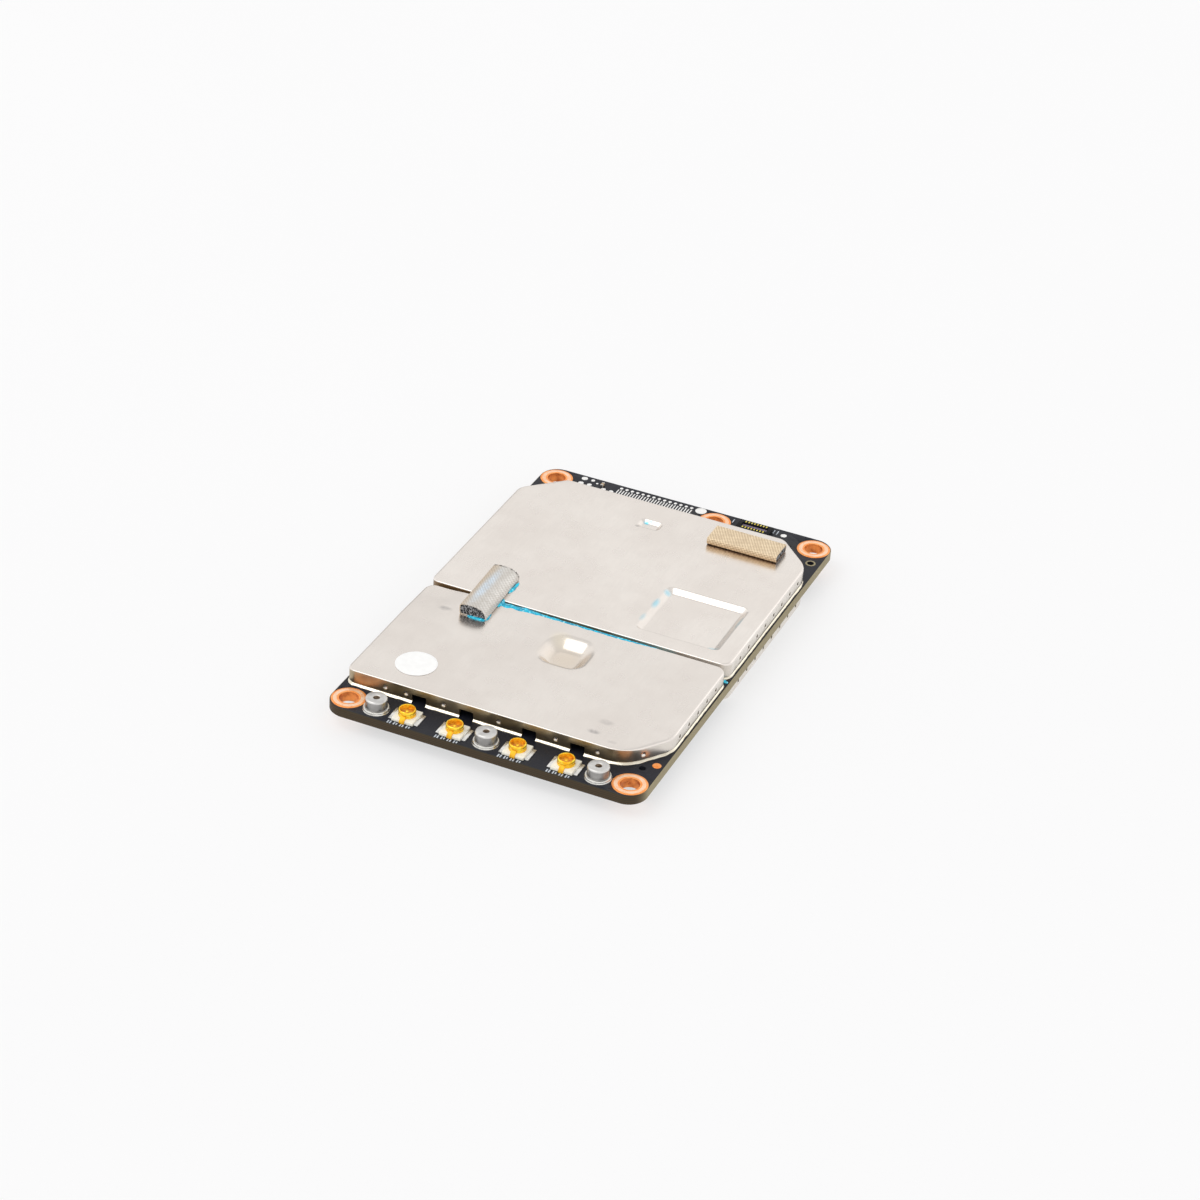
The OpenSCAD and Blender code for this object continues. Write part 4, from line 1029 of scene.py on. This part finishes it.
def make_gasket(name, line, places, put, weave, pitch, fray, recess):
    """A foam gasket in a wrap of conductive weave, open at both ends.

    Line is its section, places its stations along its length, and put(a, b, t) turns a section point at a
    station into a point in space.
    """
    cloth, relief = 0.12, 0.014
    normal = outward(line)
    steps = np.hypot(*np.diff(np.r_[line, line[:1]], axis=0).T)
    run = np.r_[0, np.cumsum(steps)[:-1]]
    wave = 2 * math.pi / pitch
    first, last = places[0], places[-1]

    def frayed(t, k):
        """Place along the length of a thread, ragged at the two cut ends of the weave."""
        near = max(0.0, 1 - min(t - first, last - t) / 0.3)
        ragged = 0.5 + 0.5 * wobble(run[k], 3 * (t > first + 1), size=0.22)
        return t + fray * near * ragged * (1 if t - first < 1 else -1)

    outer, inner = [], []
    for t in places:
        bulge = relief * np.sin(wave * run) * math.sin(wave * t) - relief
        for rows, row in ((outer, line + normal * bulge[:, None]), (inner, line - normal * cloth)):
            rows.append([put(a, b, frayed(t, k)) for k, (a, b) in enumerate(row)])
    shape = Shape().add(skin(outer + inner[::-1], lap=True))
    fabric = build(name + "_weave", shape, [weave], [name + "_fabric"], sharp=70)

    core = line - normal * (cloth + 0.004)
    clear, mesh = 0.05, 0.06
    grid = [np.arange(low + clear, high, mesh) for low, high in zip(core.min(0), core.max(0))]
    inside = within(core, normal, *grid, clear)

    def pore(a, b, seed):
        near = noise.voronoi(Vector((a, b, seed)) / 0.2)[0]
        return 0.22 * ramp(near[1] - near[0], 0.3) + 0.05 * wobble(a, b, seed, 0.12)

    shape = Shape()
    ends = ((first + recess, 1), (last - recess, -1))
    shape.add(skin([[put(a, b, t) for a, b in core] for t, _ in ends]))
    rim = {(round(a, 5), round(b, 5)) for a, b in core}
    for t, into in ends:
        points, faces = fill([tuple(p) for p in core], inside)
        depth = [0.0 if (round(a, 5), round(b, 5)) in rim else pore(a, b, t) for a, b, _ in points]
        shape.add(([put(a, b, t + into * d) for (a, b, _), d in zip(points, depth)], faces))
    foam = build(name + "_core", shape, [FOAM], [name + "_foam"], sharp=50)


def make_gaskets():
    """The domed gasket across the seam, slightly turned, and the flat one on the rear lid."""
    mid, half = (SEAM_LO + SEAM_HI) / 2, (SEAM_HI[0] - SEAM_LO[0]) / 2
    base, crown = SEAM_LO[2], SEAM_HI[2] - SEAM_LO[2]
    profile = [(-1, 0), (1, 0), (1, 0.28), (0.88, 0.6), (0.62, 0.84), (0.25, 0.97), (-0.1, 1), (-0.5, 0.98),
               (-0.86, 0.91), (-1, 0.78)]
    line = resample([(half * a, crown * b) for a, b in profile], 132, 10)
    step, turn = REAR_HI[2] - FRONT_HI[2], 0.03

    def put_seam(a, b, t):
        lift = step * ramp((t - FRONT_HI[1]) / (REAR_LO[1] - FRONT_HI[1]))
        return mid[0] + a - turn * (t - mid[1]), t, base + lift + b * (crown - lift) / crown

    places = list(np.linspace(SEAM_LO[1], SEAM_HI[1], 128))
    make_gasket("seam_gasket", line, places, put_seam, SEAM_WEAVE, SEAM_PITCH, 0.16, 0.12)

    y, half = (TAN_LO[1] + TAN_HI[1]) / 2, (TAN_HI[1] - TAN_LO[1]) / 2
    floor, high = TAN_LO[2], TAN_HI[2] - TAN_LO[2]
    bow = [(half * s, high - 0.05 * s * s) for s in np.linspace(1, -1, 25)]
    line = resample([(0.2 - half, 0), (half - 0.2, 0), (half, 0.2)] + bow + [(-half, 0.2)], 132, 4)

    def put_rear(a, b, t):
        return t, y - a, floor + b

    places = list(np.linspace(TAN_LO[0], TAN_HI[0], 124))
    make_gasket("rear_gasket", line, places, put_rear, REAR_WEAVE, REAR_PITCH, 0.06, 0.08)


def make_gel():
    """Blue gel: an uneven bead in the seam, what it left along the bridging gasket's foot, and two drops."""
    lo, hi = box("seam_gel")
    y0, y1, mid = FRONT_HI[1], REAR_LO[1], (FRONT_HI[1] + REAR_LO[1]) / 2
    front, rear = FRONT_HI[2], REAR_HI[2]
    rows = []
    for x in np.linspace(lo[0], hi[0], 150):
        share = (x - lo[0]) / (hi[0] - lo[0])
        full = (1 - ramp(share / 0.75)) * 0.75 + 0.25 * (1 - ramp((share - 0.75) / 0.25))
        full *= 1 + 0.3 * wobble(x, 2, size=1.3)
        spill = (0.34 + 0.3 * (1 - ramp(share / 0.3))) * (1 - ramp((share - 0.7) / 0.3))
        spill *= 1 + 0.35 * wobble(x, 5, size=0.6)
        level = front - 0.42 + 0.45 * full + 0.03 * wobble(x, 9, size=0.5)
        ring = [(y0, lo[2]), (y1, lo[2]), (y1, level - 0.12), (y1 - 0.08, level - 0.03), (mid, level)]
        for part in (0.2, 0.45, 0.7, 0.9, 1.0):
            out = spill * part
            rise = max(0.0, FRONT_BEND - out)
            sheet = front - TOP_DIP - FRONT_BEND + math.sqrt(FRONT_BEND ** 2 - rise ** 2)
            ring.append((y0 - out, sheet + (0.06 * (1 - part ** 2) - 0.005) * min(1.0, 8 * spill)))
        ring.append((y0 - 0.8 * spill, front - 0.36))
        rows.append([(x, a, b) for a, b in ring])
    shape = Shape().add(skin(rows, caps=True))

    def bead(path, count, size):
        """A smear along a broken line, thicker in the middle."""
        path = [Vector(p) for p in spread(path, count)]
        rows = []
        for k, p in enumerate(path):
            ahead = (path[min(k + 1, count - 1)] - path[max(k - 1, 0)]).normalized()
            side = ahead.cross(Vector((0, 0, 1)))
            r = size * max(0.05, max(0.0, math.sin(math.pi * k / (count - 1))) ** 0.4)
            r *= 1 + 0.35 * wobble(p.x, p.y, 7, 0.5)
            turns = [math.pi * n / 8 for n in range(9)]
            rows.append([p + side * (r * math.cos(a)) + Vector((0, 0, 0.8 * r * math.sin(a))) for a in turns])
        return skin(rows, caps=True)

    x, near = SEAM_HI[0], SEAM_LO[1]
    for path, count, size in (
        ([(x - 2.3, near + 0.08, front), (x - 1.2, near + 0.0, front), (x - 0.25, near + 0.1, front),
          (x + 0.04, near + 0.6, front), (x + 0.02, near + 1.7, front)], 60, 0.23),
        ([(x - 0.04, near + 3.4, front), (x + 0.08, y0 - 0.1, front), (x + 0.12, mid, front),
          (x + 0.02, y1 + 0.25, rear)], 36, 0.22),
        ([(x - 0.05, y1 + 1.6, rear), (x + 0.06, y1 + 2.8, rear), (x + 0.06, y1 + 4.3, rear)], 36, 0.22),
    ):
        shape.add(bead(path, count, size))
    drop = [(0, 0.24), (0.14, 0.22), (0.26, 0.15), (0.33, 0.05), (0.35, 0), (0, 0)]
    for dx, dy, size in ((0.7, 0.02, 0.8), (0.4, -0.05, 0.55)):
        shape.add(lathe([(a * size, b * size) for a, b in drop], (BOARD_HI[0] - dx, mid + dy, TOP), 28))
    build("gel_bead", shape, [GEL], ["seam_gel"], sharp=60)


def make_label():
    """A blank round label with a soft cut edge."""
    lo, hi = box("round_label")
    r, t = (hi[0] - lo[0]) / 2, hi[2] - lo[2]
    at = (*(lo + hi)[:2] / 2, lo[2])
    profile = [(0, t), (0.5 * r, t), (0.93 * r, t), (r - 0.03, 0.85 * t), (r, 0.5 * t), (r - 0.01, 0), (0, 0)]
    build("blank_label", Shape().add(lathe(profile, at, 96)), [LABEL], ["round_label"], sharp=60)


def make_rear_strip():
    """The rear edge's tinned pads, the fiducial and the small chip."""
    rear = BOARD_HI[1]
    pads = Shape()
    left = [(3.1, 0.7, 0.78), (4.2, 0.65, 0.5), (3.1, 1.9, 0.7), (4.2, 1.8, 0.6), (4.95, 1.1, 0.3),
            (6.15, 1.95, 0.6), (7.2, 2.0, 0.6)]
    for step, inset, d in left:
        pads.add(dome(step - HOLE_X, rear - inset, d / 2, PAD_T))
    pads.add(dome(HOLES[-1][0] - 2.4, rear - 0.8, 0.7, PAD_T, 40))
    pads.add(dome(HOLE_X - 4.3, rear - 1.2, 0.375, PAD_T, 28))
    build("tinned_test_pads", pads, [TIN], ["test_pads"], sharp=60)

    lo, hi = box("edge_pads")
    dots, finger_w, dot_r, dot_inset = 14, 0.18, 0.21, 0.7
    pitch = (hi[0] - lo[0] - finger_w) / (2 * dots - 1)
    row = Shape()
    for k in range(dots):
        row.add(dome(lo[0] + finger_w / 2 + (2 * k + 0.5) * pitch, rear - dot_inset, dot_r, PAD_T))
    for k in range(2 * dots):
        x = lo[0] + k * pitch + 0.02
        row.add(soft_box((x, lo[1], TOP), (x + finger_w - 0.03, lo[1] + 1.0, TOP + PAD_T), 0.02))
    build("tinned_edge_pads", row, [TIN], ["edge_pads"], sharp=60)

    lo, hi = box("copper_fiducial")
    spot = lathe([(0, PAD_T), (0.42, PAD_T), (0.48, 0.6 * PAD_T), (0.5, 0)], (*(lo + hi)[:2] / 2, TOP), 40)
    build("fiducial", Shape().add(spot), [BARREL], ["copper_fiducial"], sharp=60)

    lo, hi = box("strip_capacitor")
    chip = Shape().add(soft_box(lo + (0.01, 0.12, 0.0), hi - (0.01, 0.12, 0.01), 0.03), 0)
    for y0, y1 in ((lo[1], lo[1] + 0.18), (hi[1] - 0.18, hi[1])):
        chip.add(soft_box((lo[0], y0, lo[2]), (hi[0], y1, hi[2]), 0.04), 1)
    build("chip_capacitor", chip, [CERAMIC, SOLDER], ["strip_capacitor"])


def make_silk():
    """Plain printed dashes in front of the sockets, ticks beside the connector and a bare ring."""
    t = 0.02
    marks = []
    for p in PORTS:
        for k in range(4):
            for dx, reach in ((-0.16, 0.26), (0.14, 0.26 - 0.09 * (k % 2))):
                marks.append((p[0] - 1.38 + 0.76 * k + dx, p[1] - 1.6, 0.08, reach))
    marks += [(x, y, 0.06, 0.4) for x, y in ((6.07, 28.59), (11.35, 28.63), (11.82, 28.63))]
    shape = Shape()
    for x, y, w, h in marks:
        shape.add(soft_box((x - w, y - h, TOP), (x + w, y + h, TOP + t), 0.006, 1))
    build("silk_marks", shape, [SILK])
    ring = lathe([(0.42, 0), (0.42, t), (0.6, t), (0.62, 0)], (*REAR_TOOLING, TOP), 36, lap=True)
    build("tooling_ring", Shape().add(ring), [LAMINATE], sharp=60)


def make_connector():
    """The board connector: black walls, a grey channel and two rows of gilt contacts."""
    lo, hi = box("connector_housing")
    (x, y, _), h = (lo + hi) / 2, hi[2] - TOP
    long, wide = (hi - lo)[:2] / 2
    channel, wall = 0.34, 0.5
    body = Shape()
    for s in (-1, 1):
        body.add(soft_box((x + s * long, lo[1], TOP), (x + s * (long - wall), hi[1], TOP + h), 0.06))
        ends = (lo[0] + 0.1, y + s * wide, TOP), (hi[0] - 0.1, y + s * channel, TOP + h - 0.02)
        body.add(soft_box(*ends, 0.05))
    inset = np.array((wall - 0.1, wide - channel - 0.05))
    floor = soft_box((*lo[:2] + inset, TOP), (*hi[:2] - inset, TOP + h * 0.55), 0.03)
    body.add(floor, 1)
    build("connector_body", body, [BLACK, MAUVE], ["connector_housing"])

    pins = Shape()
    count, pitch, row_gap, half, tail = 8, 0.38, 1.24, 0.085, 0.3
    for s in (-1, 1):
        for k in range(count):
            px, py = x + (k - (count - 1) / 2) * pitch, y + s * row_gap / 2
            pins.add(soft_box((px - half, py - 0.18, TOP), (px + half, py + 0.18, TOP + h), 0.04))
            pins.add(soft_box((px - half, y + s * (wide + tail), TOP), (px + half, py, TOP + 0.1), 0.03))
    build("connector_pins", pins, [GILT], ["connector_contacts"])


def dress_inner_parts():
    """Finishes for the chips and gel that the shields hide."""
    looks = {"chip_moulding": CHIP, "chip_ceramic": CERAMIC, "thermal_gel": GEL}
    slots = {s["node"]: s["material_slot"] for s in frame["record"]["subparts"]}
    for name, node in frame["nodes"].items():
        if not node.hide_render and slots.get(name) in looks:
            node.data.materials.clear()
            node.data.materials.append(looks[slots[name]])


def make_stage():
    """A plain pale floor in a bright room that is dimmer behind the camera, and a softbox above."""
    mesh = bpy.data.meshes.new("floor")
    reach = 3.0  # metres
    corners = [(x * reach, y * reach, 0) for x, y in ((-1, -1), (1, -1), (1, 1), (-1, 1))]
    mesh.from_pydata(corners, [], [(0, 1, 2, 3)])
    floor = bpy.data.objects.new("floor", mesh)
    bpy.context.scene.collection.objects.link(floor)
    f = Finish("pale_floor", emission_color=(1, 1, 1, 1), emission_strength=0.61)
    f.bump(f.noise(0.4, 2), 0.0005)
    mesh.materials.append(f.done(f.mix(f.noise(60, 2), (0.295, 0.295, 0.3), (0.305, 0.305, 0.31)), 0.9))

    world = bpy.data.worlds.new("studio")
    bpy.context.scene.world = world
    sky = Nodes(world)
    coords = sky.node("ShaderNodeTexCoord").outputs["Generated"]

    def facing(direction, low, high, start, end):
        """A brightness that changes between two angles from a direction."""
        angle = sky.vector("DOT_PRODUCT", coords, Vector(direction).normalized())
        return sky.span(angle, low, high, start, end)

    strength = facing((0.1, 1, 0.2), -0.3, 0.4, 1.15, 1.0)
    for operation, *patch in (
        ("MULTIPLY", (0, 0, 1), 0.62, 0.74, 1.0, 0.8),  # ceiling
        ("MULTIPLY", (-0.5, 0.85, -0.05), 0.85, 0.95, 1.0, 0.5),  # low corner
        ("MULTIPLY", (-0.32, -0.86, 0.25), 0.8, 0.93, 1.0, 0.72),  # behind the camera
        ("ADD", (0.4, 0.75, 0.5), 0.88, 0.99, 0.0, 0.08),  # glow
        ("ADD", (0.6, 0.76, 0.28), 0.97, 0.995, 0.0, 0.4),  # strip
        ("ADD", SOFTBOX, 0.87, 0.93, 0.0, 0.9),
    ):
        strength = sky.math(operation, strength, facing(*patch))
    background = sky.tree.nodes["Background"]
    sky.feed(background.inputs["Strength"], strength)
    background.inputs["Color"].default_value = (1.0, 0.995, 0.985, 1)

    light = bpy.data.lights.new("softbox", "AREA")
    light.size, light.energy = 0.55, 0.5
    lamp = bpy.data.objects.new("softbox", light)
    lamp.location = SOFTBOX * 0.9
    lamp.rotation_euler = (-lamp.location).to_track_quat("-Z", "Y").to_euler()
    bpy.context.scene.collection.objects.link(lamp)


def make_camera():
    """The photograph's camera, in the part's frame."""
    right = Vector((0.910321, 0.410354, 0.05409))
    down = Vector((0.263339, -0.473388, -0.840569))
    place = Vector((122.5585, -296.7484, 211.2114)) * MM
    data = bpy.data.cameras.new("camera")
    data.sensor_width, data.lens = 36.0, 99.671
    data.clip_start, data.clip_end = 0.01, 20.0
    camera = bpy.data.objects.new("camera", data)
    turn = Matrix((right, -down, right.cross(-down))).transposed()
    camera.matrix_world = Matrix.Translation(place) @ turn.to_4x4()
    bpy.context.scene.collection.objects.link(camera)
    bpy.context.scene.camera = camera


make_board()
make_lands()
make_shields()
for port in (1, 2, 3, 4):
    make_socket(port)
for post in (1, 2, 3):
    make_standoff(post)
make_gaskets()
make_gel()
make_label()
make_rear_strip()
make_silk()
make_connector()
dress_inner_parts()
make_stage()
make_camera()
bpy.context.scene.view_settings.view_transform = "Standard"
